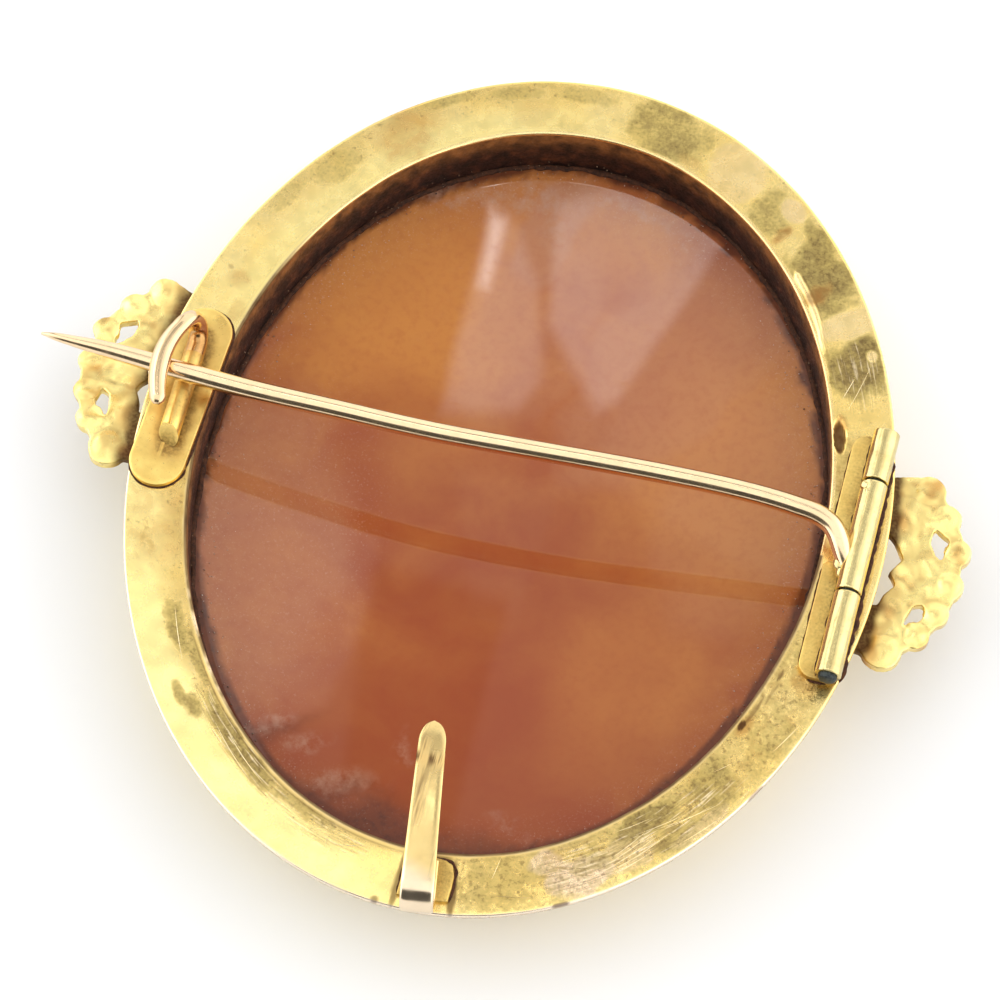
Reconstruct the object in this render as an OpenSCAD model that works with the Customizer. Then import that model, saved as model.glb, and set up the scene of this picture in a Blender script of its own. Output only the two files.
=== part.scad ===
// Cameo brooch lying face down: an oval gold frame with a carved shell, a hinged pin,
// a C-shaped catch, a tongue hook and two pierced scrolls. Millimetres, +Z towards the wearer.

/* [Frame] */
// Length of the oval frame, along Y
frame_len = 54; // [50:0.5:58]
// Width of the oval frame, along X
frame_wid = 44.4; // [41:0.2:48]
// Width of the flat ring on the back
ring_w = 3.7; // [3.4:0.1:4.4]
// Height from the front crest to the back ring's face
frame_h = 7.2; // [7.1:0.1:8.4]
// Height of the thin rim round the outer edge
rim_h = 0.45; // [0.35:0.05:0.6]
// How far the ring's edge stands out over the border below it
rim_over = 0.5; // [0.3:0.05:0.7]
// Bow of the border between the rim and the crest, 1 for a straight slope
border_bow = 1.25; // [1:0.05:1.4]
// Width of the flat crest that the brooch lies on
crest_w = 0.4; // [0.3:0.05:0.6]
// Bevel along both edges of the back ring
edge_bevel = 0.12; // [0.06:0.01:0.18]
// How far the bezel's lip reaches in under the shell
lip_w = 0.8; // [0.6:0.05:1]
// Thickness of the bezel's lip
lip_t = 0.5; // [0.35:0.05:0.7]
// Length of the worn pit in the back ring
pit_len = 2.2; // [1.6:0.1:2.6]
// Width of the worn pit
pit_w = 0.62; // [0.4:0.02:0.8]
// Depth of the worn pit
pit_depth = 0.3; // [0.2:0.05:0.4]

/* [Cameo shell] */
// Depth from the back ring's face to the shell's back edge
shell_depth = 4; // [3.6:0.1:4.1]
// Thickness of the shell at its edge
shell_edge_t = 1.2; // [1:0.05:1.25]
// How far the shell's front bulges past its edge
front_bulge = 1.2; // [0.9:0.05:1.3]
// How far the shell's hollow back sinks below its edge
back_hollow = 1.6; // [1.2:0.05:1.7]
// Clearance round the shell's edge and over the bezel's lip
shell_gap = 0.1; // [0.05:0.01:0.15]
// Height of the flower carving on the front
relief_h = 0.65; // [0.4:0.05:0.7]
// Width of the plain border left round the carving
plain_border = 1.6; // [1:0.1:2.4]

/* [Pin and hinge] */
// Diameter of the pin's wire
wire_d = 1.2; // [1:0.05:1.3]
// Reach of the pin's point past the frame's side
pin_reach = 6.6; // [6:0.1:8]
// Largest sideways bow of the pin
pin_bow = 1.8; // [1.4:0.1:2]
// Distance of the hinge axis in from the frame's side
hinge_inset = 1.55; // [1.4:0.05:1.7]
// Length of the hinge barrel, along Y
barrel_len = 15.7; // [14:0.1:17]
// Outer diameter of the knuckles
barrel_d = 1.55; // [1.5:0.05:1.7]
// Length of the turning middle knuckle
middle_len = 7; // [6:0.1:7.6]
// Shift of the middle knuckle from the barrel's middle, along Y
middle_shift = 0.95; // [0.5:0.05:1.2]
// Gap between neighbouring knuckles
knuckle_gap = 0.15; // [0.1:0.01:0.25]
// Diameter of the iron rod in the knuckles
rod_d = 1.1; // [0.9:0.05:1.15]
// How far the rod stands out of the barrel's near end
rod_proud = 0.35; // [0:0.05:0.6]
// Radial clearance of the rod in the turning knuckle
turn_gap = 0.04; // [0.02:0.01:0.06]
// Radial clearance of the rod in the fixed knuckles
fixed_gap = 0.02; // [0.01:0.01:0.04]
// Width of the hinge's base plate
hinge_plate_w = 2.9; // [2.6:0.1:3]
// Thickness of the hinge's base plate
hinge_plate_t = 0.45; // [0.35:0.05:0.6]
// Gap between the turning knuckle and the base plate
lift_gap = 0.12; // [0.08:0.01:0.2]
// Width of the solder web under each fixed knuckle
web_w = 1; // [0.7:0.1:1.2]
// Length of the notch in the base plate beside the pin's root
notch_len = 2.3; // [2:0.1:2.8]

/* [Catch] */
// Length of the catch's base plate
catch_len = 11.9; // [10.5:0.1:13]
// Width of the catch's base plate
catch_w = 3.35; // [3:0.05:3.4]
// Thickness of the catch's base plate
catch_t = 0.4; // [0.3:0.05:0.5]
// Distance of the plate's centre in from the frame's side
catch_inset = 2.1; // [2:0.05:2.2]
// Turn of the catch about the vertical, degrees
catch_turn = -2.7; // [-4:0.1:0]
// Diameter of the catch's wire
catch_wire_d = 1.2; // [1:0.05:1.3]
// Width of the flattened arm over the pin
arm_w = 1.15; // [1:0.05:1.3]
// Thickness of the flattened arm
arm_t = 0.85; // [0.7:0.05:1]
// Clearance between the pin and the catch, above and below
catch_gap = 0.1; // [0.05:0.01:0.15]
// How far the arm leans out past the lower leg
arm_lean = 1; // [0.6:0.1:1.2]
// Length of the lower leg from the pin to its cut end
leg_past = 3.7; // [3:0.1:4]
// Length of the arm from the pin to its free end
arm_past = 2.9; // [2.4:0.1:3.4]
// Distance from the pin to the start of the bend
bend_past = 2.2; // [1.9:0.1:2.6]

/* [Tongue hook] */
// Length of the tongue from its fold to its tip
hook_len = 10.6; // [9:0.1:12]
// Width of the tongue at the fold
hook_w = 1.9; // [1.6:0.05:2.2]
// Width of the tongue near its tip
hook_tip_w = 1.15; // [0.9:0.05:1.3]
// Thickness of the tongue's strip
hook_t = 0.45; // [0.35:0.05:0.6]
// Radius of the fold at the strip's middle
fold_r = 1.225; // [1.1:0.025:1.35]
// Reach of the fold past the frame's end
fold_past = 0.6; // [0.4:0.05:0.8]
// Rise of the tip above the straight tongue
tip_rise = 0.35; // [0.1:0.05:0.6]
// Distance of the fold from the long axis
hook_x = 1.4; // [1:0.1:1.8]
// Lean of the tongue towards the long axis, degrees
hook_lean = 9.2; // [7:0.1:11]
// Width of the foot plate
foot_w = 2.9; // [2.6:0.1:3.2]
// Length of the foot plate
foot_len = 3.1; // [2.8:0.1:3.2]
// Thickness of the foot plate
foot_t = 0.35; // [0.25:0.05:0.45]

/* [Scrolls] */
// Reach of a scroll past the frame's side
scroll_reach = 4.85; // [4.4:0.05:5.4]
// Length of a scroll, along Y
scroll_len = 12.75; // [11.5:0.25:14]
// Depth of the scrolls' back below the back ring's face
scroll_drop = 1.5; // [1.2:0.1:2]
// Thickness of the scrolls' sheet
scroll_t = 0.7; // [0.5:0.05:0.9]
// Height of the domes on the scrolls' lobes
dome_h = 0.15; // [0.1:0.05:0.3]
// Gap between a scroll and the frame's border
scroll_gap = 0.05; // [0.03:0.01:0.1]
// Shift of the right scroll's middle, along Y
right_shift = 0.83; // [0.4:0.1:1.2]
// Shift of the left scroll's middle, along Y
left_shift = 1.95; // [1.4:0.1:2.2]
// Turn of the left scroll, degrees
left_turn = -6; // [-8:0.5:0]

/* [Hidden] */
$fn = 48;

// Overlap that joins two shapes of one solid, and the reach of a cutter past a face
fuse = 0.08;
past = 1;

// Half sizes of the frame and the levels along Z
half_w = frame_wid / 2;
half_l = frame_len / 2;
shell_back_z = frame_h - shell_depth;
shell_front_z = shell_back_z - shell_edge_t;
lip_top_z = shell_front_z - shell_gap;
lip_low_z = lip_top_z - lip_t;
hinge_z = frame_h + hinge_plate_t + lift_gap + barrel_d / 2;
leg_z = frame_h + catch_t + catch_wire_d / 2 - fuse;
catch_pin_z = leg_z + catch_wire_d / 2 + catch_gap + wire_d / 2;
arm_z = catch_pin_z + wire_d / 2 + catch_gap + arm_t / 2;

// Hinge axis, pin length, and the shift that centres the brooch on its box
hinge_x = half_w - hinge_inset;
pin_len = hinge_x + half_w + pin_reach;
mid_x = (scroll_reach - pin_reach) / 2;
mid_y = -fold_past / 2;

// Segments round the oval, and sides of a swept wire
OVAL_SEGS = 96;
BORDER_ROWS = 5;
WIRE_SIDES = 14;

// The pin's wire: share of its length from the hinge, share of the bow, share of the rise
// from the hinge's height to the catch's, share of the wire's radius
STEM = [
    [0.000, 0.38, 0.00, 1.00],
    [0.019, 0.44, 0.30, 1.00],
    [0.033, 0.61, 0.62, 1.00],
    [0.052, 0.77, 0.82, 1.00],
    [0.078, 0.88, 0.92, 1.00],
    [0.114, 0.97, 0.96, 1.00],
    [0.160, 1.00, 1.00, 1.00],
    [0.240, 0.95, 1.00, 1.00],
    [0.320, 0.84, 1.00, 1.00],
    [0.410, 0.68, 1.00, 1.00],
    [0.500, 0.55, 1.00, 1.00],
    [0.640, 0.50, 1.00, 1.00],
    [0.760, 0.50, 1.00, 1.00],
    [0.830, 0.58, 1.00, 0.98],
    [0.880, 0.67, 1.00, 0.90],
    [0.920, 0.72, 1.00, 0.78],
    [0.960, 0.74, 1.00, 0.56],
    [0.985, 0.75, 1.00, 0.36],
    [1.000, 0.75, 1.00, 0.12]
];

// Outer lobes of a scroll: share of the reach, share of the length, radius as share of the reach
LOBES = [
    [0.330, 0.417, 0.205],
    [0.600, 0.300, 0.190],
    [0.825, 0.150, 0.170],
    [0.825, -0.022, 0.175],
    [0.740, -0.171, 0.165],
    [0.560, -0.296, 0.175],
    [0.210, -0.406, 0.240]
];
// Outline of the sheet inside the lobes, from the frame's side round the rim and back along
// the gap: share of the reach, share of the length
SHEET = [[-0.42, 0.420], [0.18, 0.480], [0.44, 0.440], [0.68, 0.335], [0.86, 0.220],
         [0.92, 0.060], [0.91, -0.090], [0.81, -0.220], [0.64, -0.325], [0.40, -0.410],
         [0.12, -0.450], [-0.42, -0.420], [-0.42, -0.215], [0.04, -0.196], [0.08, -0.141],
         [0.175, -0.086], [0.145, -0.055], [0.080, -0.024], [0.125, 0.008], [0.205, 0.055],
         [0.125, 0.102], [0.06, 0.133], [-0.02, 0.157], [-0.42, 0.180]];
// Outlines of the two piercings, in the same columns
UPPER_PIERCING = [[0.505, 0.252], [0.600, 0.221], [0.700, 0.202], [0.700, 0.147],
                  [0.660, 0.092], [0.578, 0.115], [0.495, 0.162], [0.485, 0.210]];
LOWER_PIERCING = [[0.455, -0.160], [0.578, -0.140], [0.618, -0.190], [0.556, -0.234],
                  [0.371, -0.281], [0.423, -0.198]];

// The carved flower from its heart outwards, a ring of petals or leaves in each row: how many,
// reach as share of the carved field, depth of the notches between them as share of the reach,
// roundness (1 is a pointed leaf), turn in degrees, and height at the inner edge and at the rim
// as shares of the relief
PETALS = [
    [3, 0.10, 0.20, 3, 0, 0.88, 1.00],
    [4, 0.20, 0.18, 3, 15, 0.64, 0.90],
    [6, 0.33, 0.18, 3, 30, 0.48, 0.78],
    [6, 0.49, 0.20, 3, 0, 0.34, 0.64],
    [8, 0.74, 0.42, 1, 22.5, 0.24, 0.46],
    [8, 0.98, 0.42, 1, 0, 0.10, 0.28]
];
// Where the rings of points lie between a petal's inner edge and its rim
PETAL_STEPS = [0, 0.35, 0.7, 0.9, 1];
// Where they lie between the flower and the shell's edge
BORDER_STEPS = [0, 0.3, 0.65, 1];

function oval(inset, deg) = [(half_w - inset) * cos(deg), (half_l - inset) * sin(deg)];
function unit(v) = v / norm(v);
function column(table, n) = [for (row = table) [row[0], row[n]]];

// The pin's wire at a share of its length: centre and radius
function stem_point(u) = [
    hinge_x - u * pin_len,
    pin_bow * lookup(u, column(STEM, 1)),
    hinge_z + (catch_pin_z - hinge_z) * lookup(u, column(STEM, 2))
];
catch_x = -(half_w - catch_inset);
pin_y = stem_point((hinge_x - catch_x) / pin_len)[1];

// A closed sheet of triangles over a grid of rows and columns; rows may close on themselves
function grid_faces(rows, cols, wrap) = [
    for (i = [0 : (wrap ? rows : rows - 1) - 1], j = [0 : cols - 1])
        let (a = i * cols + j, b = i * cols + (j + 1) % cols)
        let (c = ((i + 1) % rows) * cols + (j + 1) % cols, d = ((i + 1) % rows) * cols + j)
        each [[a, c, b], [a, d, c]]
];

// A wire or strip swept along points; each size is [half width, half height, roundness]
module sweep(points, sizes, across, sides = WIRE_SIDES) {
    last = len(points) - 1;
    rings = [
        for (i = [0 : last])
            let (along = unit(points[min(i + 1, last)] - points[max(i - 1, 0)]))
            let (high = unit(cross(along, across)), wide = cross(high, along))
            for (k = [0 : sides - 1])
                let (deg = 360 * k / sides, c = cos(deg), s = sin(deg), e = sizes[i][2])
                points[i] + wide * sizes[i][0] * sign(c) * pow(abs(c), e)
                    + high * sizes[i][1] * sign(s) * pow(abs(s), e)
    ];
    start = [[for (k = [0 : sides - 1]) k]];
    end = [[for (k = [sides - 1 : -1 : 0]) last * sides + k]];
    polyhedron(rings, concat(grid_faces(last + 1, sides, false), start, end));
}

// The shell's half sizes, and the heights of its plain front and its back at a point
shell_w = half_w - ring_w - shell_gap;
shell_l = half_l - ring_w - shell_gap;
function shell_share(p) = norm([p[0] / shell_w, p[1] / shell_l]);
function front_z(p) = shell_front_z - front_bulge * (1 - pow(shell_share(p), 2));
function back_z(p) = shell_back_z - back_hollow * (1 - pow(shell_share(p), 2));

// Half sizes of the carved field inside the plain border
field_w = shell_w - plain_border;
field_l = shell_l - plain_border;

// Place in the carved field at a share of its reach: round in the middle, oval at the rim
function field_point(share, deg) = [
    share * field_w * cos(deg),
    share * (field_w + (field_l - field_w) * share * share) * sin(deg)
];

// From 0 in the middle of a petal to 1 in the notch beside it
function petal_side(row, deg) =
    1 - abs(2 * (((deg - row[4] + 720) * row[0] / 360) % 1) - 1);

// Share of the field that a ring of petals reaches, a little uneven and past the ring inside it
function petal_reach(n, deg) =
    n < 0 ? 0
        : let (row = PETALS[n], uneven = 1 + 0.05 * sin(2 * deg + 50 * n) + 0.03 * sin(deg + 130 * n))
            let (side = pow(petal_side(row, deg), row[3]))
            max(min(row[1] * uneven, 1) * (1 - row[2] * side), petal_reach(n - 1, deg) + 0.03);

// Height of a petal as share of the relief, from its inner edge to its rim
function petal_height(row, step, side) =
    let (rise = row[5] + (row[6] - row[5]) * pow(step, 0.7), rim = step < 1 ? 1 : 0.9)
    let (groove = 0.35 * step * pow(side, 8), rib = row[3] < 2 ? 0.3 * pow(1 - side, 6) : 0)
    rise * rim * (1 - groove - rib);

// Inset of the border's face at a height over the crest
function border_inset(z) =
    rim_over + (ring_w - rim_over) * (1 - pow(z / (frame_h - rim_h), 1 / border_bow));

// The frame's section as inset from the outer edge and height: back ring, thin outer rim,
// bowed border, flat crest, bezel lip and inner wall
function frame_section() = concat(
    [[ring_w - edge_bevel, frame_h], [edge_bevel, frame_h], [0, frame_h - edge_bevel],
     [0, frame_h - rim_h]],
    [for (i = [0 : BORDER_ROWS])
        let (z = (frame_h - rim_h) * pow(1 - i / BORDER_ROWS, border_bow))
        [border_inset(z), z]],
    [[ring_w + crest_w, 0], [ring_w + lip_w, lip_low_z], [ring_w + lip_w, lip_top_z],
     [ring_w, lip_top_z], [ring_w, frame_h - edge_bevel]]
);

module frame_body() {
    section = frame_section();
    points = [
        for (i = [0 : OVAL_SEGS - 1], p = section)
            let (xy = oval(p[0], 360 * i / OVAL_SEGS))
            [xy[0], xy[1], p[1]]
    ];
    polyhedron(points, grid_faces(OVAL_SEGS, len(section), true));
}

module oval_sheet(inset) {
    polygon([for (i = [0 : OVAL_SEGS - 1]) oval(inset, 360 * i / OVAL_SEGS)]);
}

module frame() color("goldenrod") {
    pit_deg = 18.5;
    pit_at = oval(ring_w - pit_w / 2 - edge_bevel, pit_deg);
    difference() {
        frame_body();
        translate([pit_at[0], pit_at[1], frame_h])
            rotate(15)
            hull()
            for (side = [-1, 1])
                translate([0, side * (pit_len - pit_w) / 2, 0])
                scale([pit_w / 2, pit_w / 2, pit_depth])
                sphere(1, $fn = 16);
    }
}

// The carved front as rings of points from the flower's heart to the shell's edge
function front_rings() = concat(
    [
        for (n = [0 : len(PETALS) - 1], step = PETAL_STEPS)
            if (n > 0 || step > 0)
                [for (j = [0 : OVAL_SEGS - 1])
                    let (deg = 360 * j / OVAL_SEGS, inner = petal_reach(n - 1, deg))
                    let (start = n > 0 ? inner + 0.008 : 0, reach = petal_reach(n, deg))
                    let (p = field_point(start + (reach - start) * step, deg))
                    let (side = petal_side(PETALS[n], deg))
                    [p[0], p[1], front_z(p) - relief_h * petal_height(PETALS[n], step, side)]]
    ],
    [
        for (step = BORDER_STEPS)
            [for (j = [0 : OVAL_SEGS - 1])
                let (deg = 360 * j / OVAL_SEGS, reach = petal_reach(len(PETALS) - 1, deg) + 0.01)
                let (edge = [shell_w * cos(deg), shell_l * sin(deg)])
                let (p = field_point(reach, deg) * (1 - step) + edge * step)
                [p[0], p[1], front_z(p)]]
    ]
);

// The hollow back as rings of points from the shell's edge to the middle
function back_rings() = [
    for (i = [8 : -1 : 1])
        [for (j = [0 : OVAL_SEGS - 1])
            let (deg = 360 * j / OVAL_SEGS, p = i / 8 * [shell_w * cos(deg), shell_l * sin(deg)])
            [p[0], p[1], back_z(p)]]
];

module cameo() color("sienna") {
    rings = concat(front_rings(), back_rings());
    points = [for (ring = rings) each ring];
    heart_z = front_z([0, 0]) - relief_h * petal_height(PETALS[0], 0, 0);
    middles = [[0, 0, heart_z], [0, 0, back_z([0, 0])]];
    count = len(points);
    last = count - OVAL_SEGS;
    fans = [
        for (j = [0 : OVAL_SEGS - 1])
            let (k = (j + 1) % OVAL_SEGS)
            each [[count, j, k], [count + 1, last + k, last + j]]
    ];
    polyhedron(concat(points, middles), concat(grid_faces(len(rings), OVAL_SEGS, false), fans));
}

// A spherical cap of radius r and height h standing on the XY plane
module cap(r, h) {
    ball_r = (r * r + h * h) / (2 * h);
    intersection() {
        translate([0, 0, h - ball_r])
            sphere(ball_r);
        translate([0, 0, h / 2 - fuse / 2])
            cube([4 * r, 4 * r, h + fuse], center = true);
    }
}

// A pierced scroll with its inner side at x = 0 and its back face at z = 0
module scroll_blank() {
    cap_share = 0.86;
    translate([0, 0, -scroll_t])
        linear_extrude(scroll_t)
        difference() {
            union() {
                polygon([for (p = SHEET) [p[0] * scroll_reach, p[1] * scroll_len]]);
                for (row = LOBES)
                    translate([row[0] * scroll_reach, row[1] * scroll_len])
                    circle(row[2] * scroll_reach);
            }
            for (outline = [UPPER_PIERCING, LOWER_PIERCING])
                polygon([for (p = outline) [p[0] * scroll_reach, p[1] * scroll_len]]);
        }
    for (row = LOBES, side = [0, 1])
        translate([row[0] * scroll_reach, row[1] * scroll_len, -side * scroll_t])
        mirror([0, 0, side])
        cap(row[2] * scroll_reach * cap_share, dome_h);
}

// The part of a placed scroll that lies outside the frame's border
module beside_frame() {
    scroll_top_z = frame_h - scroll_drop + dome_h;
    difference() {
        children();
        translate([0, 0, -past])
            linear_extrude(frame_h + past)
            oval_sheet(border_inset(scroll_top_z) - scroll_gap);
    }
}

module scroll_right() color("goldenrod") {
    beside_frame()
        translate([half_w, right_shift, frame_h - scroll_drop])
        scroll_blank();
}

module scroll_left() color("goldenrod") {
    beside_frame()
        translate([-half_w, left_shift, frame_h - scroll_drop])
        rotate(left_turn)
        mirror([1, 0, 0])
        scroll_blank();
}

// A tube along Y with its middle on the hinge axis
module knuckle(y, length, d) {
    translate([hinge_x, y, hinge_z])
        rotate([90, 0, 0])
        cylinder(d = d, h = length, center = true);
}

// Ends of the barrel and of the turning knuckle along Y
middle_y = middle_shift;
barrel_ends = [-barrel_len / 2, barrel_len / 2];
middle_ends = [middle_y - middle_len / 2, middle_y + middle_len / 2];
fixed_spans = [
    [barrel_ends[0], middle_ends[0] - knuckle_gap],
    [middle_ends[1] + knuckle_gap, barrel_ends[1]]
];

module hinge_plate() {
    corner_r = 0.9;
    right_x = hinge_x + barrel_d / 2 + 0.3;
    left_x = right_x - hinge_plate_w;
    notch_x = hinge_x - barrel_d / 2 - lift_gap;
    translate([0, 0, frame_h])
        linear_extrude(hinge_plate_t)
        intersection() {
            oval_sheet(edge_bevel + fuse);
            difference() {
                union() {
                    translate([left_x, barrel_ends[0] + corner_r])
                        square([hinge_plate_w, barrel_len - 2 * corner_r]);
                    translate([left_x + corner_r, barrel_ends[0]])
                        square([hinge_plate_w - corner_r, barrel_len]);
                    for (y = barrel_ends)
                        translate([left_x + corner_r, y - sign(y) * corner_r])
                        circle(corner_r);
                }
                translate([left_x - past, pin_bow * STEM[0][1] - notch_len / 2])
                    square([notch_x - left_x + past, notch_len]);
            }
        }
}

module hinge() color("khaki") {
    bore_d = rod_d + 2 * fixed_gap;
    difference() {
        union() {
            hinge_plate();
            for (span = fixed_spans) {
                length = span[1] - span[0];
                knuckle((span[0] + span[1]) / 2, length, barrel_d);
                translate([hinge_x - web_w / 2, span[0], frame_h + hinge_plate_t - fuse])
                    cube([web_w, length, hinge_z - frame_h - hinge_plate_t + fuse]);
            }
        }
        knuckle(0, barrel_len + 2 * past, bore_d);
    }
}

module hinge_rod() color("dimgray") {
    knuckle(-rod_proud / 2, barrel_len + rod_proud, rod_d);
}

module pin() color("burlywood") {
    difference() {
        union() {
            knuckle(middle_y, middle_len, barrel_d);
            sweep([for (row = STEM) stem_point(row[0])],
                  [for (row = STEM) [row[3] * wire_d / 2, row[3] * wire_d / 2, 1]], [0, 1, 0]);
        }
        knuckle(middle_y, middle_len + past, rod_d + 2 * turn_gap);
    }
}

module catch_plate() {
    end_r = catch_w / 2;
    straight = catch_len - catch_w;
    plate_y = pin_y - 0.7;
    translate([catch_x, plate_y, frame_h])
        rotate(catch_turn)
        linear_extrude(catch_t)
        union() {
            square([catch_w, straight], center = true);
            for (side = [-1, 1])
                translate([0, side * straight / 2])
                circle(end_r);
        }
}

// The catch's wire: a lower leg on the plate, a bend, and a flattened arm back over the pin
module catch_wire() {
    bend_r = (arm_z - leg_z) / 2;
    leg_r = catch_wire_d / 2;
    bend_y = pin_y + bend_past;
    leg = [for (y = [pin_y - leg_past, pin_y, bend_y - bend_r / 2]) [0, y, leg_z, leg_r, leg_r]];
    bend = [
        for (a = [-90 : 30 : 90])
            let (t = (a + 90) / 180)
            [-0.35 * arm_lean * t, bend_y + bend_r * cos(a), (arm_z + leg_z) / 2 + bend_r * sin(a),
             leg_r + (arm_w / 2 - leg_r) * t, leg_r + (arm_t / 2 - leg_r) * t]
    ];
    arm_run = bend_past + arm_past;
    arm = [
        for (t = [0.12, 0.25, 0.4, 0.6, 0.8, 0.9, 0.97, 1])
            let (taper = t > 0.9 ? sqrt(1 - pow((t - 0.9) / 0.115, 2)) : 1)
            [-arm_lean * (0.35 + 0.95 * sin(160 * t)), bend_y - t * arm_run, arm_z,
             taper * arm_w / 2, taper * arm_t / 2]
    ];
    route = concat(leg, bend, arm);
    translate([catch_x + 0.1, 0, 0])
        sweep([for (p = route) [p[0], p[1], p[2]]], [for (p = route) [p[3], p[4], 1]], [1, 0, 0]);
}

module catch() color("gold") {
    union() {
        catch_plate();
        catch_wire();
    }
}

module hook_foot() {
    inner_y = -half_l + edge_bevel + fuse + foot_len;
    translate([0, 0, frame_h])
        linear_extrude(foot_t)
        intersection() {
            oval_sheet(edge_bevel + fuse);
            translate([hook_x + 0.2 - foot_w / 2, -half_l])
                square([foot_w, inner_y + half_l]);
        }
}

// The tongue: a strip that leaves the foot outwards, folds over and comes back
module hook_strip() {
    half_t = hook_t / 2;
    low_z = frame_h + foot_t + half_t - fuse;
    end_reach = pow(pow(hook_w / 2 * sin(hook_lean), 4 / 3) + pow(half_t * cos(hook_lean), 4 / 3), 3 / 4);
    fold_y = -half_l - fold_past + fold_r * cos(hook_lean) + end_reach;
    tongue = hook_len - fold_r;
    low = [for (share = [0.65, 0.2]) [share * foot_len, low_z, hook_w / 2]];
    fold = [for (a = [0 : 30 : 180]) [-fold_r * sin(a), low_z + fold_r * (1 - cos(a)), hook_w / 2]];
    top = [
        for (t = [0.2, 0.45, 0.7, 0.88, 0.96, 1])
            let (wide = hook_w + (hook_tip_w - hook_w) * t)
            let (round_end = t > 0.88 ? sqrt(1 - pow((t - 0.88) / 0.13, 2)) : 1)
            [t * tongue, low_z + 2 * fold_r + tip_rise * sin(150 * t), wide / 2 * round_end]
    ];
    route = concat(low, fold, top);
    translate([hook_x, fold_y, 0])
        rotate(hook_lean)
        sweep([for (p = route) [0, p[0], p[1]]], [for (p = route) [p[2], half_t, 0.5]],
              [1, 0, 0], 16);
}

module hook() color("tan") {
    union() {
        hook_foot();
        hook_strip();
    }
}

translate([-mid_x, -mid_y, 0]) {
    frame();
    cameo();
    scroll_left();
    scroll_right();
    hinge();
    hinge_rod();
    pin();
    catch();
    hook();
}
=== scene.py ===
import math

import bpy
import numpy as np
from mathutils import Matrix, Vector, noise


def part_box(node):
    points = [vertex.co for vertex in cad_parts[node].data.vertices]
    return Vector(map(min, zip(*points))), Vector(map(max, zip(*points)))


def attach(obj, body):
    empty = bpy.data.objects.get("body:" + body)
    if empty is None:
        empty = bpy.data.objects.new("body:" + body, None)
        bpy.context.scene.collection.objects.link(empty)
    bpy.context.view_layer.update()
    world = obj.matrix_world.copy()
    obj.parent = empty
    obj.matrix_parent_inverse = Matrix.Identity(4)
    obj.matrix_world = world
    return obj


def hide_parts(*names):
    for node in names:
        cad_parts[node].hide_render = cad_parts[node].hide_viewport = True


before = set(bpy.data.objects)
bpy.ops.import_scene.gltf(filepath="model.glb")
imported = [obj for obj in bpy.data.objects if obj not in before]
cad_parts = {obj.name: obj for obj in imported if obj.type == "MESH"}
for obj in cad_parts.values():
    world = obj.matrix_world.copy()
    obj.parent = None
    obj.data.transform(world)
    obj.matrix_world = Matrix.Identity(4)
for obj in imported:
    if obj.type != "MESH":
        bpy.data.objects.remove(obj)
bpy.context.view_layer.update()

# Pieces are drawn in millimetres about the oval's centre, with z = 0 on the back ring's face
MM = 0.001
FRAME_LOW, FRAME_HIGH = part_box("frame")
CENTRE = Vector(((FRAME_LOW.x + FRAME_HIGH.x) / 2, (FRAME_LOW.y + FRAME_HIGH.y) / 2, FRAME_HIGH.z))
HALF_W = (FRAME_HIGH.x - FRAME_LOW.x) / 2 / MM
HALF_L = (FRAME_HIGH.y - FRAME_LOW.y) / 2 / MM
FRAME_H = (FRAME_HIGH.z - FRAME_LOW.z) / MM


def box_mm(node):
    """Lowest and highest corner of a CAD node, in the pieces' millimetres."""
    return [(corner - CENTRE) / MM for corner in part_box(node)]


# Frame and shell, as in the CAD
RING_W = 3.7
EDGE_BEVEL = 0.12
RIM_H = 0.45
RIM_OVER = 0.5
BORDER_BOW = 1.25
CREST_W = 0.4
LIP_W = 0.8
LIP_T = 0.5
SHELL_W, SHELL_L, SHELL_BACK_Z = box_mm("cameo")[1]
SHELL_EDGE_T = 1.2
SHELL_GAP = 0.1
SHELL_FRONT_Z = SHELL_BACK_Z - SHELL_EDGE_T
FRONT_BULGE = 1.2
BACK_HOLLOW = 1.6
RELIEF_H = 0.65
PLAIN_BORDER = 1.6

# Pin and hinge, as in the CAD
WIRE_R = 0.6
PIN_BOW = 1.8
ROD_LOW, ROD_HIGH = box_mm("hinge_rod")
HINGE_X = (ROD_LOW.x + ROD_HIGH.x) / 2
HINGE_Z = (ROD_LOW.z + ROD_HIGH.z) / 2
ROD_R = (ROD_HIGH.x - ROD_LOW.x) / 2
PIN_LEN = HINGE_X - box_mm("pin")[0].x
PIN_Z = 2.22
BARREL_R = 0.775
HINGE_LOW, HINGE_HIGH = box_mm("hinge")
KNUCKLE_ENDS = (HINGE_LOW.y, -2.7, -2.55, 4.45, 4.6, HINGE_HIGH.y)
PLATE_T = 0.45
PLATE_SINK = 0.03

# The catch's place on the ring: the stem passes through it
CATCH_X = -(HALF_W - 2.1)
CATCH_Y = PIN_BOW * 0.57


# Shapes

def place(points):
    """Points in the pieces' millimetres as metres in the row's frame."""
    return np.asarray(points, float) * MM + np.array(CENTRE)


def on_oval(t, inset, z):
    """Points at angles t round the oval, set in from its edge."""
    return stack((HALF_W - inset) * np.cos(t), (HALF_L - inset) * np.sin(t), z)


def stack(*columns):
    """Columns side by side as points, each an array or one number for all."""
    return np.column_stack(np.broadcast_arrays(*columns))


def turns(count):
    """Evenly spaced angles of one whole turn."""
    return np.linspace(0, 2 * np.pi, count, endpoint=False)


def rough(points, size, seed=0):
    """Smooth noise from about -1 to 1 at points in millimetres, with bumps of one size."""
    shift = Vector((seed * 7.3, seed * 3.1, seed * 5.7))
    return np.array([noise.noise(Vector(p) / size + shift) for p in points])


def ripples(points, seed, *layers):
    """Noise summed over layers of (height, size)."""
    return sum(height * rough(points, size, seed + n) for n, (height, size) in enumerate(layers))


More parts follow.
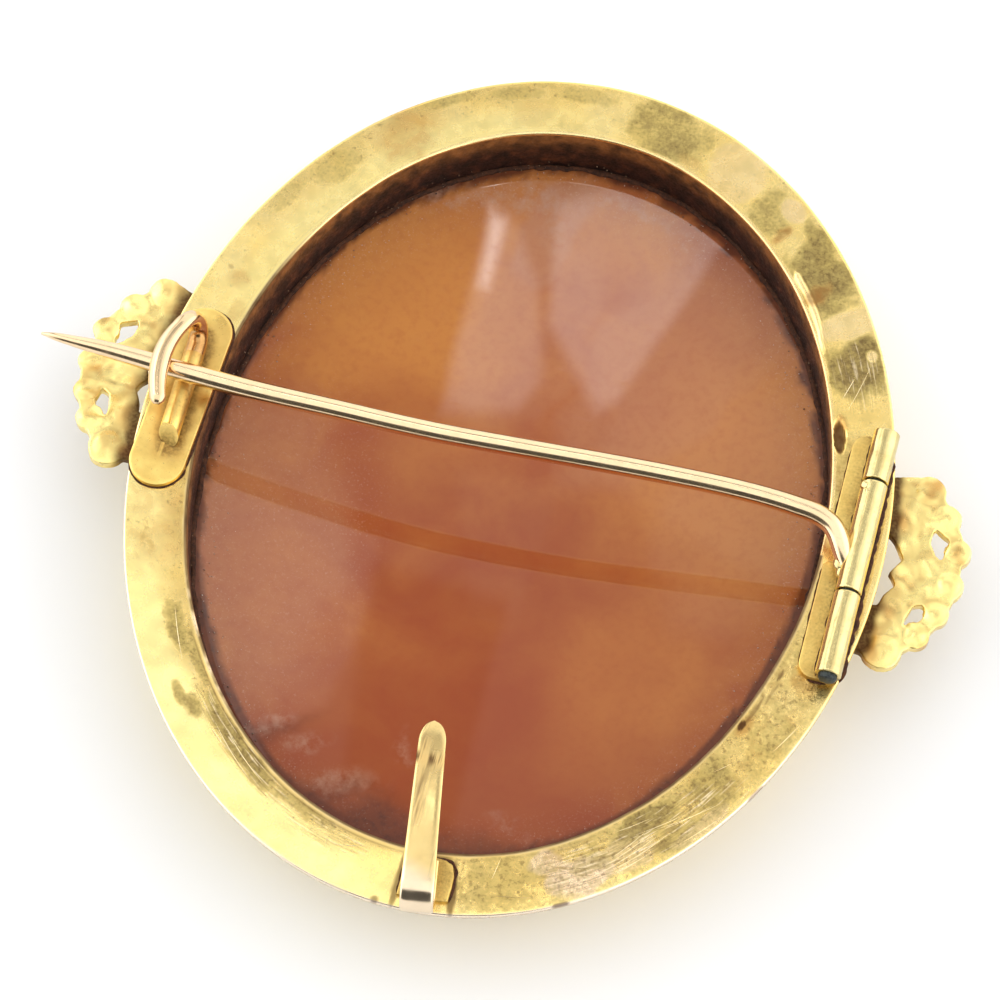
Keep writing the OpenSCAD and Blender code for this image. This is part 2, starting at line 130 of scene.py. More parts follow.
def smoothstep(start, end, value):
    """0 at the start and 1 at the end, which may be the lower of the two."""
    t = np.clip((value - start) / (end - start), 0, 1)
    return t * t * (3 - 2 * t)


def bell(value, middle, width):
    return np.exp(-((value - middle) / width) ** 2)


def most(*arrays):
    """The greatest of several arrays at each point."""
    return np.max(arrays, axis=0)


def spline(shares, table):
    """A table's other columns, smoothly joined, at shares from 0 to 1 of its first column."""
    knots, values = np.array(table)[:, 0], np.array(table)[:, 1:]
    slopes = np.gradient(values, knots, axis=0)
    i = np.clip(np.searchsorted(knots, shares) - 1, 0, len(knots) - 2)
    step = (knots[i + 1] - knots[i])[:, None]
    t = (shares - knots[i])[:, None] / step
    near = (2 * t ** 3 - 3 * t ** 2 + 1) * values[i] + (t ** 3 - 2 * t ** 2 + t) * step * slopes[i]
    far = (3 * t ** 2 - 2 * t ** 3) * values[i + 1] + (t ** 3 - t ** 2) * step * slopes[i + 1]
    return (near + far).T


def grid_faces(rows, columns, wrap_rows=False):
    """Quads over a grid of points whose rows are closed rings."""
    i, j = np.meshgrid(np.arange(rows if wrap_rows else rows - 1), np.arange(columns), indexing="ij")
    i, j = i.ravel(), j.ravel()
    k, m = (i + 1) % rows, (j + 1) % columns
    return np.stack([i * columns + j, i * columns + m, k * columns + m, k * columns + j], 1)


def capped_grid(rows, columns):
    """A grid's quads with a flat face over each end ring."""
    first = range(columns - 1, -1, -1)
    last = range((rows - 1) * columns, rows * columns)
    return [*grid_faces(rows, columns), first, last]


def pole_faces(rows, columns):
    """Triangles that join a grid's end rings to the two points that follow it."""
    count = rows * columns
    faces = []
    for j in range(columns):
        k = (j + 1) % columns
        faces += [[count, j, k], [count + 1, count - columns + k, count - columns + j]]
    return faces


def link_object(name, mesh):
    obj = bpy.data.objects.new(name, mesh)
    bpy.context.scene.collection.objects.link(obj)
    return obj


def new_object(name, points, faces):
    """A mesh object from points in millimetres."""
    mesh = bpy.data.meshes.new(name)
    mesh.from_pydata(place(points).tolist(), [], [list(map(int, f)) for f in faces])
    mesh.update()
    return link_object(name, mesh)


def freeze(obj):
    """Makes the shape that an object's modifiers give its plain mesh."""
    depsgraph = bpy.context.evaluated_depsgraph_get()
    finished = bpy.data.meshes.new_from_object(obj.evaluated_get(depsgraph))
    obj.modifiers.clear()
    obj.data = finished


def dress(obj, material, body, nodes=(), slot=None, sharp_deg=35):
    """Gives an object its material and smooth shading, and rides it on its body."""
    obj.data.materials.clear()
    obj.data.materials.append(material)
    obj.data.polygons.foreach_set("use_smooth", [True] * len(obj.data.polygons))
    obj.data.set_sharp_from_angle(angle=math.radians(sharp_deg))
    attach(obj, body)
    if nodes:
        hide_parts(*nodes)
    return obj


def add_piece(name, points, faces, *looks, **more):
    """A finished piece from points in millimetres."""
    return dress(new_object(name, points, faces), *looks, **more)


def add_material(obj, material, faces):
    """A second material on some of a piece's faces, given as true or false for each."""
    obj.data.materials.append(material)
    obj.data.polygons.foreach_set("material_index", faces.astype(np.int32))


def set_attributes(obj, **attributes):
    """Numbers at a piece's points, for its material to read."""
    for name, values in attributes.items():
        attribute = obj.data.attributes.new(name, "FLOAT", "POINT")
        attribute.data.foreach_set("value", np.asarray(values, np.float32))


def merge_meshes(*parts):
    """Several (points, faces) as one list of points and one of faces."""
    points, faces, start = [], [], 0
    for part_points, part_faces in parts:
        points.append(part_points)
        faces += [[int(v) + start for v in f] for f in part_faces]
        start += len(part_points)
    return np.concatenate(points), faces


def sweep(centres, half_wide, half_high, across=(0, 0, 1), sides=28, power=1.0):
    """A closed wire or strip along points, as wide and high as each station says."""
    along = np.gradient(centres, axis=0)
    along /= np.linalg.norm(along, axis=1)[:, None]
    high = np.cross(along, across)
    high /= np.linalg.norm(high, axis=1)[:, None]
    wide = np.cross(high, along)
    turn = turns(sides)
    c, s = np.cos(turn), np.sin(turn)
    c, s = np.sign(c) * np.abs(c) ** power, np.sign(s) * np.abs(s) ** power
    rings = (centres[:, None]
             + wide[:, None] * (half_wide[:, None] * c)[..., None]
             + high[:, None] * (half_high[:, None] * s)[..., None])
    return rings.reshape(-1, 3), capped_grid(len(centres), sides)


def lathe_y(profile, x, z, sides, capped=False):
    """A solid about an axis along Y from (y, radius) points: a closed ring, or with flat ends."""
    turn = turns(sides)
    points = [[x + r * math.cos(a), y, z + r * math.sin(a)] for y, r in profile for a in turn]
    rows = len(profile)
    faces = capped_grid(rows, sides) if capped else grid_faces(rows, sides, wrap_rows=True)
    return np.array(points), [f[::-1] for f in faces]


def blob(centre, radii, seed, lumps=0.25, rows=13, columns=20):
    """A rounded lump with an uneven surface."""
    tilt = np.repeat(np.pi * np.arange(1, rows + 1) / (rows + 1), columns)
    turn = np.tile(turns(columns), rows)
    sphere = stack(np.sin(tilt) * np.cos(turn), np.sin(tilt) * np.sin(turn), np.cos(tilt))
    points = np.concatenate([sphere, [[0, 0, 1], [0, 0, -1]]])
    points *= (1 + lumps * rough(points, 0.7, seed))[:, None]
    faces = [f[::-1] for f in grid_faces(rows, columns)] + pole_faces(rows, columns)
    return points * radii + centre, faces


def flat_plate(outline, z, thickness, bevel=0.06, rows=()):
    """A plate over an outline, with a small bevel round its top and rows of points at insets."""
    outline = np.asarray(outline, float)
    ahead = np.roll(outline, -1, 0) - outline
    behind = outline - np.roll(outline, 1, 0)
    tangent = sum(side / np.linalg.norm(side, axis=1)[:, None] for side in (ahead, behind))
    tangent /= np.linalg.norm(tangent, axis=1)[:, None]
    normal = np.stack([tangent[:, 1], -tangent[:, 0]], 1)
    top = z + thickness
    levels = [(0, z), (0, top - bevel), (bevel * 0.3, top - bevel * 0.3), (bevel, top), (bevel * 3, top)]
    levels += [(inset, top) for inset in rows]
    rings = [np.insert(outline - normal * inset, 2, level, axis=1) for inset, level in levels]
    return np.concatenate(rings), capped_grid(len(levels), len(outline))


# Materials

class Value:
    """A node's output that adds Math nodes when it is reckoned with."""

    def __init__(self, socket):
        self.socket = socket

    def math(self, operation, other, clamp=False):
        tree, inputs = self.socket.id_data, {0: self, 1: other}
        node = add_node(tree, "ShaderNodeMath", inputs, operation=operation, use_clamp=clamp)
        return Value(node.outputs[0])

    def __add__(self, other):
        return self.math("ADD", other)

    def __sub__(self, other):
        return self.math("SUBTRACT", other)

    def __mul__(self, other):
        return self.math("MULTIPLY", other)

    def __truediv__(self, other):
        return self.math("DIVIDE", other)


def add_node(tree, kind, inputs=(), **settings):
    """A node whose inputs are given as values or as what they are joined to."""
    node = tree.nodes.new(kind)
    for name, value in settings.items():
        setattr(node, name, value)
    for name, value in dict(inputs).items():
        if isinstance(value, Value):
            value = value.socket
        elif isinstance(value, bpy.types.Node):
            value = value.outputs[0]
        target = node.inputs[name]
        if isinstance(value, bpy.types.NodeSocket):
            tree.links.new(value, target)
        else:
            target.default_value = (*value, 1) if target.type == "RGBA" else value
    return node


class Nodes:
    """Short calls for the nodes that the materials and the light tent share."""

    def __init__(self, owner, place="Object"):
        owner.use_nodes = True
        self.owner = owner
        self.tree = owner.node_tree
        self.tree.nodes.clear()
        self.place = self.add("ShaderNodeTexCoord", output=place)

    def add(self, kind, inputs=(), output=0, **settings):
        return Value(add_node(self.tree, kind, inputs, **settings).outputs[output])

    def noise(self, size_mm, detail=4, rough_share=0.55, stretch=(1, 1, 1), turn=(0, 0, 0), shift=0.0,
              distortion=0.0, source=None, unit=MM):
        """Noise with grains of a size in millimetres, from 0 to 1."""
        scale = [1 / (size_mm * unit) / s for s in stretch]
        vector = self.add("ShaderNodeMapping", {"Vector": source or self.place, "Scale": scale,
                                                "Rotation": turn, "Location": (shift, shift, shift)})
        return self.add("ShaderNodeTexNoise", {"Vector": vector, "Scale": 1, "Detail": detail,
                                               "Roughness": rough_share, "Distortion": distortion})

    def ramp(self, source, *stops):
        """A colour or value ramp with (place, value or colour) stops."""
        node = add_node(self.tree, "ShaderNodeValToRGB", {"Fac": source})
        elements = node.color_ramp.elements
        while len(elements) < len(stops):
            elements.new(0.5)
        for element, (where, colour) in zip(elements, stops):
            element.position = where
            element.color = (*colour, 1) if isinstance(colour, tuple) else (colour, colour, colour, 1)
        return Value(node.outputs["Color"])

    def between(self, source, low, high):
        """0 at one value and 1 at the other, with a smooth step between them."""
        return self.add("ShaderNodeMapRange", {"Value": source, "From Min": low, "From Max": high},
                        interpolation_type="SMOOTHSTEP")

    def layers(self, base, *coats):
        """Coats of (share, colour) laid one over the other, through the Mix node's colour sockets."""
        for share, colour in coats:
            base = self.add("ShaderNodeMix", {0: share, 6: base, 7: colour}, output=2, data_type="RGBA")
        return base

    def attribute(self, name, output="Fac"):
        return self.add("ShaderNodeAttribute", output=output, attribute_name=name)

    def surface(self, colour, roughness, bumps=(), metallic=0.0, **more):
        """The finished material, with bumps as (height, strength, depth in millimetres) layers."""
        inputs = {"Base Color": colour, "Roughness": roughness, "Metallic": metallic, **more}
        below = {}
        for height, strength, depth_mm in bumps:
            bump = {"Height": height, "Strength": strength, "Distance": depth_mm * MM, **below}
            below = {"Normal": self.add("ShaderNodeBump", bump)}
        shader = self.add("ShaderNodeBsdfPrincipled", {**inputs, **below})
        add_node(self.tree, "ShaderNodeOutputMaterial", {"Surface": shader})
        return self.owner


def new_material(name):
    return Nodes(bpy.data.materials.new(name))


GOLD = (0.97, 0.71, 0.24)
PALE_GOLD = (0.98, 0.83, 0.42)
# Colours of painted highlight and painted shade on the ring
LIT_GOLD = (0.99, 0.85, 0.36)
SHADED_GOLD = (0.56, 0.38, 0.12)
OLIVE = (0.42, 0.32, 0.10)
TARNISH = (0.19, 0.13, 0.05)
# Brown of stains, also used for painted shade and reflection
STAIN_AND_SHADE = (0.52, 0.26, 0.07)
WORN_PINK = (0.88, 0.66, 0.42)
# Rose of rub wear, also used as a whiter painted highlight on edges
ROSE_RUB_AND_HIGHLIGHT = (0.90, 0.78, 0.70)
DARK_LINE = (0.30, 0.20, 0.08)
BRIGHT_LINE = (0.98, 0.80, 0.52)
CRACK = (0.44, 0.27, 0.08)
# Brown of dirt, also used for painted shade
DIRT_AND_SHADE_BROWN = (0.075, 0.028, 0.014)


def ring_gold():
    """Worn gold of the back ring, with patches of tarnish, worn places and dirt by attribute, and painted
    highlight and painted shade across its width.
    """
    n = new_material("ring_gold")
    cloud = n.noise(2.8, shift=3.0)
    mottle = n.noise(0.9, 8, 0.66, shift=5.0, distortion=0.2)
    fine = n.noise(0.20, 6, 0.65, shift=9.0)
    speck = n.noise(0.26, 3, shift=13.0)
    wrinkle = n.noise(0.9, 5, 0.6, shift=17.0, distortion=1.0)
    slanted = n.noise(0.13, 2, stretch=(18, 1, 1), turn=(0, 0, 0.13),
                      source=n.attribute("ring_place", "Vector"), unit=1.0)
    tarnish, shade, worn = n.attribute("tarnish"), n.attribute("shade"), n.attribute("worn")
    filed, melted, dirt = n.attribute("filed"), n.attribute("melted"), n.attribute("dirt")
    noisy = (mottle - 0.5) * 0.75 + (fine - 0.5) * 0.55
    torn = tarnish.math("ADD", noisy, clamp=True)
    patch = n.ramp(torn, (0.26, 0.0), (0.40, 0.45), (0.62, 0.80), (0.95, 0.97))
    spoiled = n.layers(OLIVE, (n.ramp(torn + noisy * 0.7, (0.5, 0.0), (1.1, 1.0)), TARNISH))
    grime = n.ramp(speck + (tarnish + shade) * 0.10, (0.66, 0.0), (0.80, 0.42))
    base = n.layers(
        GOLD,
        (n.ramp(cloud, (0.36, 0.0), (0.70, 0.45)), PALE_GOLD),
        # Painted highlight: paler gold where the ring is to look more brightly lit
        (n.attribute("glow"), LIT_GOLD),
        # Painted shade: darker gold over parts of the ring's width
        (shade * 0.55, SHADED_GOLD),
        (n.ramp(worn + noisy * 0.3, (0.12, 0.0), (0.7, 1.0)), WORN_PINK),
        # Rub wear on edges, partly a painted highlight that whitens the edge's reflection
        (n.attribute("rubbed"), ROSE_RUB_AND_HIGHLIGHT),
        (patch, spoiled),
        (n.attribute("stain") * n.ramp(mottle, (0.35, 0.25), (0.6, 0.9)), STAIN_AND_SHADE),
        (filed * n.ramp(slanted, (0.52, 0.0), (0.60, 1.0)) * 0.5, DARK_LINE),
        (filed * n.ramp(slanted, (0.34, 1.0), (0.43, 0.0)) * 0.75, BRIGHT_LINE),
        (melted * n.ramp(wrinkle, (0.34, 0.5), (0.52, 0.0)), CRACK),
        # Dirt, and on the frame's underside painted shade, by attribute
        (dirt.math("MAXIMUM", grime), DIRT_AND_SHADE_BROWN))
    dull = patch * 0.12 + dirt * 0.4
    dull = dull.math("ADD", n.ramp(mottle, (0.3, 0.22), (0.7, 0.31)), clamp=True)
    marks = slanted * (filed + 0.04)
    grains = fine * (patch * 0.8 + 0.06)
    bumps = [(cloud, 0.15, 0.05), (wrinkle * melted, 0.8, 0.16), (marks, 0.6, 0.04), (grains, 0.35, 0.015)]
    return n.surface(base, dull, bumps, 1.0)


def fitting_gold(name, colour, roughness, dirt=0.5, lumps=0.5, grain=(1, 1, 1), broken=(0.32, 0.5)):
    """Polished gold of the fittings, with small dents and brown dirt in the hollows; the stain and dirt
    attributes also carry painted shade and reflection on some pieces.
    """
    n = new_material(name)
    mottle = n.noise(1.1, shift=2.0)
    fine = n.noise(0.16, shift=6.0, stretch=grain)
    darker = tuple(c * s for c, s in zip(colour, (0.62, 0.52, 0.36)))
    grime_and_shade = n.attribute("dirt")
    base = n.layers(
        colour,
        (n.ramp(mottle, (0.42, 0.0), (0.75, dirt)), darker),
        (n.ramp(fine, (0.62, 0.0), (0.78, dirt)), DIRT_AND_SHADE_BROWN),
        # Stain by attribute, on some pieces painted shade and reflection
        (n.attribute("stain"), STAIN_AND_SHADE),
        # Rub wear by attribute, partly a painted highlight
        (n.attribute("rubbed"), ROSE_RUB_AND_HIGHLIGHT),
        # Dirt by attribute, on some pieces painted shade
        (grime_and_shade * n.ramp(fine, broken, (0.60, 1.0)), DIRT_AND_SHADE_BROWN))
    polish = n.ramp(mottle, (0.3, roughness), (0.8, roughness + 0.14))
    dull = polish.math("ADD", grime_and_shade * 0.35, clamp=True)
    return n.surface(base, dull, [(mottle, lumps, 0.05), (fine, 0.15, 0.01)], 1.0)


def wall_gold():
    """Dirt-covered gold of the frame's inner wall, with a painted reflection near its top."""
    n = new_material("wall_gold")
    mottle = n.noise(0.9, 6, shift=1.0)
    fine = n.noise(0.18, 5, shift=4.0)
    dirt = n.ramp(mottle, (0.36, (0.010, 0.004, 0.003)), (0.54, (0.045, 0.015, 0.009)),
                  (0.74, (0.16, 0.055, 0.022)))
    base = n.layers(
        dirt,
        (n.ramp(fine, (0.5, 0.0), (0.8, 0.6)), (0.02, 0.01, 0.006)),
        # Painted reflection: lighter brown gold near the top of the wall
        (n.attribute("shade") * n.ramp(mottle, (0.32, 0.15), (0.62, 0.8)), (0.42, 0.19, 0.055)))
    bumps = [(mottle, 0.7, 0.08), (fine, 0.5, 0.03)]
    return n.surface(base, n.ramp(fine, (0.3, 0.35), (0.7, 0.7)), bumps, 0.35)


SHELL_BASE = (0.320, 0.084, 0.028)
# Pale and deep shell colours, also used for painted reflection and painted shadow
SHELL_DEEP = (0.262, 0.054, 0.020)
SHELL_PALE = (0.405, 0.172, 0.088)
SHELL_WARM = (0.500, 0.200, 0.046)
PALE_DUST = (0.62, 0.42, 0.30)
# Dark browns of rim dirt, also used for painted shade along the lip
MOULD_AND_SHADE = (0.105, 0.026, 0.011)
DARK_MOULD_AND_SHADE = (0.040, 0.015, 0.010)
FLAKE = (0.44, 0.25, 0.17)
CARVED_CREAM = (0.83, 0.74, 0.62)
THIN_CREAM = (0.74, 0.50, 0.34)


def shell_material():
    """Glossy shell: red-brown with cloudy pale and orange fields, and a cream layer in the carving. The pale
    fields partly paint the lamps' reflection, the deep fields partly the pin's shadow and a darker reflection.
    """
    n = new_material("shell")
    cloud = n.noise(4.5, 5, shift=2.0, distortion=0.6)
    grain = n.noise(0.5, 6, shift=7.0)
    dust = n.ramp(n.noise(0.16, 5, 0.7, shift=11.0), (0.56, 0.0), (0.74, 1.0))
    flaky = n.ramp(n.noise(0.8, 7, 0.62, shift=21.0), (0.42, 0.0), (0.72, 1.0))
    base = n.layers(
        SHELL_BASE,
        (n.ramp(cloud, (0.35, 0.0), (0.7, 0.5)), SHELL_WARM),
        # Deeper red-brown, partly a painted shadow of the pin and a painted darker reflection
        (n.attribute("deep"), SHELL_DEEP),
        (n.attribute("warm"), SHELL_WARM),
        # Paler fields, partly painted reflections of the lamps
        (n.attribute("pale"), SHELL_PALE),
        (n.ramp(grain, (0.45, 0.0), (0.8, 0.25)), SHELL_DEEP),
        # Pale dust, low on the left partly a painted reflection
        (dust * n.attribute("dust"), PALE_DUST),
        # Rim dirt, and painted shade along the line where the lip hides the shell
        (n.attribute("dirt"), n.layers(MOULD_AND_SHADE, (n.ramp(grain, (0.48, 0.0), (0.66, 0.8)), DARK_MOULD_AND_SHADE))),
        (flaky * n.attribute("flakes"), FLAKE),
        (n.attribute("carved"), n.layers(CARVED_CREAM, (n.attribute("thin"), THIN_CREAM))))
    scuffs = n.noise(0.07, 2, stretch=(26, 1, 1), turn=(0, 0, 0.55), shift=4.0)
    scuffs = n.ramp(scuffs, (0.66, 0.0), (0.72, 1.0))
    dull = n.ramp(grain, (0.35, 0.012), (0.75, 0.04)) + scuffs * 0.10
    depth = {"Subsurface Weight": 0.12, "Subsurface Radius": (1.0, 0.4, 0.2), "Subsurface Scale": 0.6 * MM}
    return n.surface(base, dull, [(grain, 0.025, 0.004), (scuffs, 0.10, 0.004)], **depth)


def grainy(name, grains, dark, light, roughness, bump=None, **more):
    """A surface of fine grains between two (place, colour) stops, with one roughness or two stops."""
    n = new_material(name)
    fine = n.noise(*grains)
    dull = n.ramp(fine, *roughness) if isinstance(roughness, tuple) else roughness
    return n.surface(n.ramp(fine, dark, light), dull, [(fine, *bump)] if bump else (), **more)


# Frame

# Patches on the back ring: degrees round the oval, inset, half width in degrees, half depth, strength
TARNISHED = [
    (28.5, 1.7, 5, 2.3, 0.85), (31.5, 0.9, 2.4, 1.1, 0.95), (44.5, 1.7, 7.5, 2.2, 0.8),
    (49, 0.8, 5, 1, 0.7), (57.5, 2.2, 4.5, 1.9, 0.62), (80.5, 1.7, 8.2, 2.3, 0.62), (79, 2.4, 5, 1.3, 0.72),
    (95, 0.9, 6, 0.7, 0.5), (107, 0.8, 6, 0.6, 0.5), (117, 0.4, 6, 0.5, 0.5), (136.5, 1.3, 5, 1.2, 0.46),
    (145, 0.7, 6, 0.6, 0.4), (223.5, 1.45, 2.4, 0.35, 0.62), (226.5, 1.85, 2.2, 0.55, 0.66),
    (213.5, 2.5, 5, 0.7, 0.62), (219, 3.1, 6, 0.4, 0.5), (236, 2.85, 11, 0.7, 0.72), (251, 3, 9, 0.5, 0.45),
    (286, 1.9, 8, 2.4, 0.42), (310, 2.6, 7, 0.9, 0.75), (300, 1.9, 4, 0.8, 0.5), (314, 0.9, 6, 0.8, 0.5),
    (322, 2, 5, 1.6, 0.6), (332, 1.4, 6, 1.3, 0.45), (342, 2.6, 5, 1.2, 0.36), (10, 3, 9, 0.8, 0.5),
    (200, 1.4, 2.6, 0.5, 0.3), (192, 2.6, 3, 0.6, 0.3), (16, 1.8, 5, 2.3, 0.3)
]
PALE_SPOTS = [
    (55.5, 1, 2.5, 0.75, 1), (66.5, 1.8, 5.5, 2.2, 0.8), (35.5, 1.5, 2.4, 2.2, 0.8),
    (30, 0.65, 0.9, 0.35, 0.9)
]
WORN_SPOTS = [
    (298, 1.3, 5, 1.2, 0.75), (293.5, 2.7, 3, 0.7, 0.6), (306, 1.6, 5, 1.3, 0.35), (317, 0.6, 5, 0.5, 0.4)
]
DIRTY_SPOTS = [
    (41.8, 2.55, 1.2, 0.8, 0.4), (53.5, 2.4, 0.6, 0.7, 0.35), (333.5, 3.2, 3, 0.12, 0.6),
    (337.5, 2.95, 2.2, 0.09, 0.45), (331, 3.25, 1, 0.2, 0.9), (340.5, 3.1, 1, 0.12, 0.7),
    (267.4, 0.15, 0.6, 0.2, 0.6), (158.6, 1.1, 0.35, 0.25, 0.5), (325.5, 0.02, 1.5, 0.12, 0.5),
    (294.5, 0.05, 1.3, 0.12, 0.7), (225.5, 1.7, 1.3, 0.25, 0.2), (278.6, 1.6, 0.7, 1.7, 0.7),
    (270, 1.6, 0.6, 1.7, 0.6), (274.3, 3.3, 4, 0.22, 0.6)
]
STAINED = [
    (41.8, 2.55, 1.4, 0.9, 0.9), (53.5, 2.5, 0.9, 0.9, 0.8), (74, 3, 2.5, 0.4, 0.4),
    (20.5, 3.1, 1.6, 0.35, 0.9), (125, 1.5, 5, 1.7, 0.6), (159.5, 2, 1.2, 0.7, 0.5),
    (164, 2.9, 2, 0.5, 0.5), (197, 1.8, 8, 1.8, 0.45), (331.5, 3.1, 2.2, 0.35, 0.8),
    (341, 1.7, 1.6, 0.8, 0.5), (347, 1, 3, 0.8, 0.6), (12, 2.2, 5, 1.5, 0.35), (104, 2.2, 3.5, 0.8, 0.25),
    (296, 3, 2.5, 0.5, 0.3), (274.5, 3.2, 0.8, 0.4, 0.5)
]
FILED = [
    (311, 1.8, 9.5, 1.3, 1), (298, 1.9, 6, 1.6, 0.8), (236, 2.7, 14, 0.8, 0.8), (27.5, 1.6, 5.5, 1.5, 0.6),
    (255, 2.6, 9, 0.9, 0.5), (322, 1.2, 5, 1, 0.5)
]
MELTED = [
    (339, 2.3, 7, 1.6, 0.9), (329, 1.9, 8, 1.5, 0.8), (319, 2.6, 5, 1, 0.6), (290, 2.6, 6, 1.2, 0.3),
    (300, 2.8, 5, 0.8, 0.4), (346, 1.2, 5, 1, 0.6)
]
PIT_DEG, PIT_INSET, PIT_HALF_DEG, PIT_HALF_INSET, PIT_DEPTH = 18.6, 3.25, 2.9, 0.36, 0.3


def frame_profile():
    """The ring's closed section as (inset, z), from the inner edge of the back face round the outside."""
    profile = [(s, 0.0) for s in np.linspace(RING_W - EDGE_BEVEL, EDGE_BEVEL, 38)]
    profile += [(EDGE_BEVEL * (1 - math.sin(a)), EDGE_BEVEL * (math.cos(a) - 1))
                for a in np.radians([30, 60, 90])]
    profile += [(0, -RIM_H + 0.06), (0.06, -RIM_H), (RIM_OVER - 0.03, -RIM_H), (RIM_OVER, -RIM_H - 0.04)]
    for share in np.linspace(0.04, 1, 16):
        rise = (FRAME_H - RIM_H) * (1 - share) ** BORDER_BOW
        profile.append((RIM_OVER + (RING_W - RIM_OVER) * share, rise - FRAME_H))
    crest_end = RING_W + CREST_W
    lip_top = SHELL_FRONT_Z - SHELL_GAP
    profile += [(crest_end, -FRAME_H), (crest_end + 0.12, -FRAME_H + 0.12)]
    profile += [(RING_W + LIP_W, lip_top - LIP_T), (RING_W + LIP_W, lip_top), (RING_W, lip_top)]
    profile += [(RING_W, z) for z in np.linspace(lip_top + 0.4, -EDGE_BEVEL * 1.5, 9)]
    profile += [(RING_W - EDGE_BEVEL * (1 - math.cos(a)), -EDGE_BEVEL * (1 - math.sin(a)))
                for a in np.radians([20, 50, 75])]
    return np.array(profile)


def hammering(points):
    """The back ring's soft hammered waves."""
    return ripples(points, 1, (0.035, 3.2), (0.014, 1.1)) - 0.02


def build_frame(gold, wall):
    columns = 1260
    profile = frame_profile()
    rows = len(profile)
    deg = np.tile(np.linspace(0, 360, columns, endpoint=False), rows)
    inset, z = np.repeat(profile, columns, axis=0).T
    t = np.radians(deg)
    flat = on_oval(t, inset, z)
    on_back = smoothstep(-0.6, -0.1, z)

    def stretch(start, end, soft=8):
        """1 between two angles round the oval, with soft ends."""
        return smoothstep(start - soft, start + soft, deg) * smoothstep(end + soft, end - soft, deg)

    def spots(table, wobble, ragged=0.30, soft=0.20):
        """How strongly each point lies in any of a table's soft-edged spots."""
        strongest = np.zeros(len(deg))
        for middle, depth, half_deg, half_inset, strength in table:
            across = (deg - middle + 180) % 360 - 180
            far = np.hypot(across / half_deg, (inset - depth) / half_inset) + ragged * wobble
            strongest = most(strongest, strength * smoothstep(0.95 + soft, 0.95 - soft, far))
        return strongest

    # A raised line along the inner edge, a strip of old solder, a burnt pit and melted folds
    inner_edge = smoothstep(RING_W - 0.40, RING_W - 0.26, inset) - 0.8 * bell(inset, 3.34, 0.05)
    edge_runs = 0.15 + smoothstep(212, 222, deg) * smoothstep(275, 262, deg) + 0.5 * rough(flat, 5.0, 3)
    edge_runs = np.clip(edge_runs, 0, 1)
    strip_half = 0.20 * smoothstep(30, 41, deg) * smoothstep(47.2, 46.2, deg) + 0.02
    strip_mid = 3.35 - 0.22 * smoothstep(33, 40, deg)
    strip = smoothstep(1.1, 0.6, np.abs(inset - strip_mid) / strip_half) * (deg > 29) * (deg < 47.4)
    pit_far = np.hypot((deg - PIT_DEG) / PIT_HALF_DEG, (inset - PIT_INSET) / PIT_HALF_INSET)
    pit = smoothstep(1.08, 0.66, pit_far + 0.22 * rough(flat, 0.6, 4))
    melted = spots(MELTED, rough(flat, 1.6, 8), 0.25, 0.45)
    folds = 0.05 * rough(flat, 0.9, 9) - 0.06 * np.abs(rough(flat, 0.7, 10)) ** 0.5
    lift = hammering(flat) + 0.035 * edge_runs * inner_edge + 0.10 * strip - PIT_DEPTH * pit + melted * folds
    wave = 0.05 * rough(flat * (1, 1, 0), 6.0, 5) * smoothstep(2.2, RING_W, inset) * (z > -3.4)
    points = on_oval(t, inset + wave, z + on_back * lift)
    points[:, 2] = np.minimum(points[:, 2], 0.1)
    faces = grid_faces(rows, columns, wrap_rows=True)[:, ::-1]
    obj = add_piece("frame_ring", points, faces, gold, "brooch", ["frame"], "frame_gold", 60)
    on_wall = inset > RING_W - 0.001
    add_material(obj, wall, on_wall & (z > SHELL_FRONT_Z - 2) & (z < -0.25))

    wobble = ripples(flat, 6, (1, 1.3), (0.6, 0.5))
    pale = spots(PALE_SPOTS, wobble * 0.4)
    broad = most(0.27 * stretch(20, 86), 0.14 * stretch(90, 140) * smoothstep(2.4, 0.8, inset),
                 0.33 * stretch(276, 350))
    tarnish = most(spots(TARNISHED, wobble, 0.30, 0.45), broad) * (1 - 0.9 * pale)
    rim_line = smoothstep(3.40, 3.52, inset + 0.05 * wobble)
    clean = most(strip, rim_line, 0.7 * smoothstep(0.22, 0.10, inset))
    lip = smoothstep(3.45, 3.56, inset) * (z > -0.4)
    clean_lip = stretch(208, 228, 5) * smoothstep(-0.2, 0.4, wobble)
    # Painted highlight on the outer bevel at 185-335 degrees, partly rub wear
    outer_bevel_highlight = smoothstep(0.14, 0.04, inset) * stretch(185, 335) * (z > -0.4)
    lip_dirt = lip * stretch(150, 375) * (1 - clean_lip) * (0.82 + 0.12 * wobble).clip(0, 1)
    seam = 0.7 * bell(inset, 3.33, 0.06) * edge_runs
    beside_strip = bell(inset, strip_mid - strip_half - 0.06, 0.07) * (deg > 31) * (deg < 46)
    dirt = most(spots(DIRTY_SPOTS, wobble, 0.15), 0.85 * pit, seam, lip_dirt, 0.55 * beside_strip)
    # Painted shade: dark brown on the underside of the border, which faces the floor
    underside_shade = 0.75 * smoothstep(-0.42, -0.6, z) * (z > -1.6) * (inset < 2)
    # Painted shade: darker over the inner part at 182-262 degrees, the outer part at 98-150 and nearly the
    # whole width at 272-350
    shade = most(stretch(182, 262) * smoothstep(1.5, 3.5, inset),
                 0.6 * stretch(98, 150) * smoothstep(2.2, 0.2, inset),
                 0.85 * stretch(272, 350) * smoothstep(0.2, 1.0, inset))
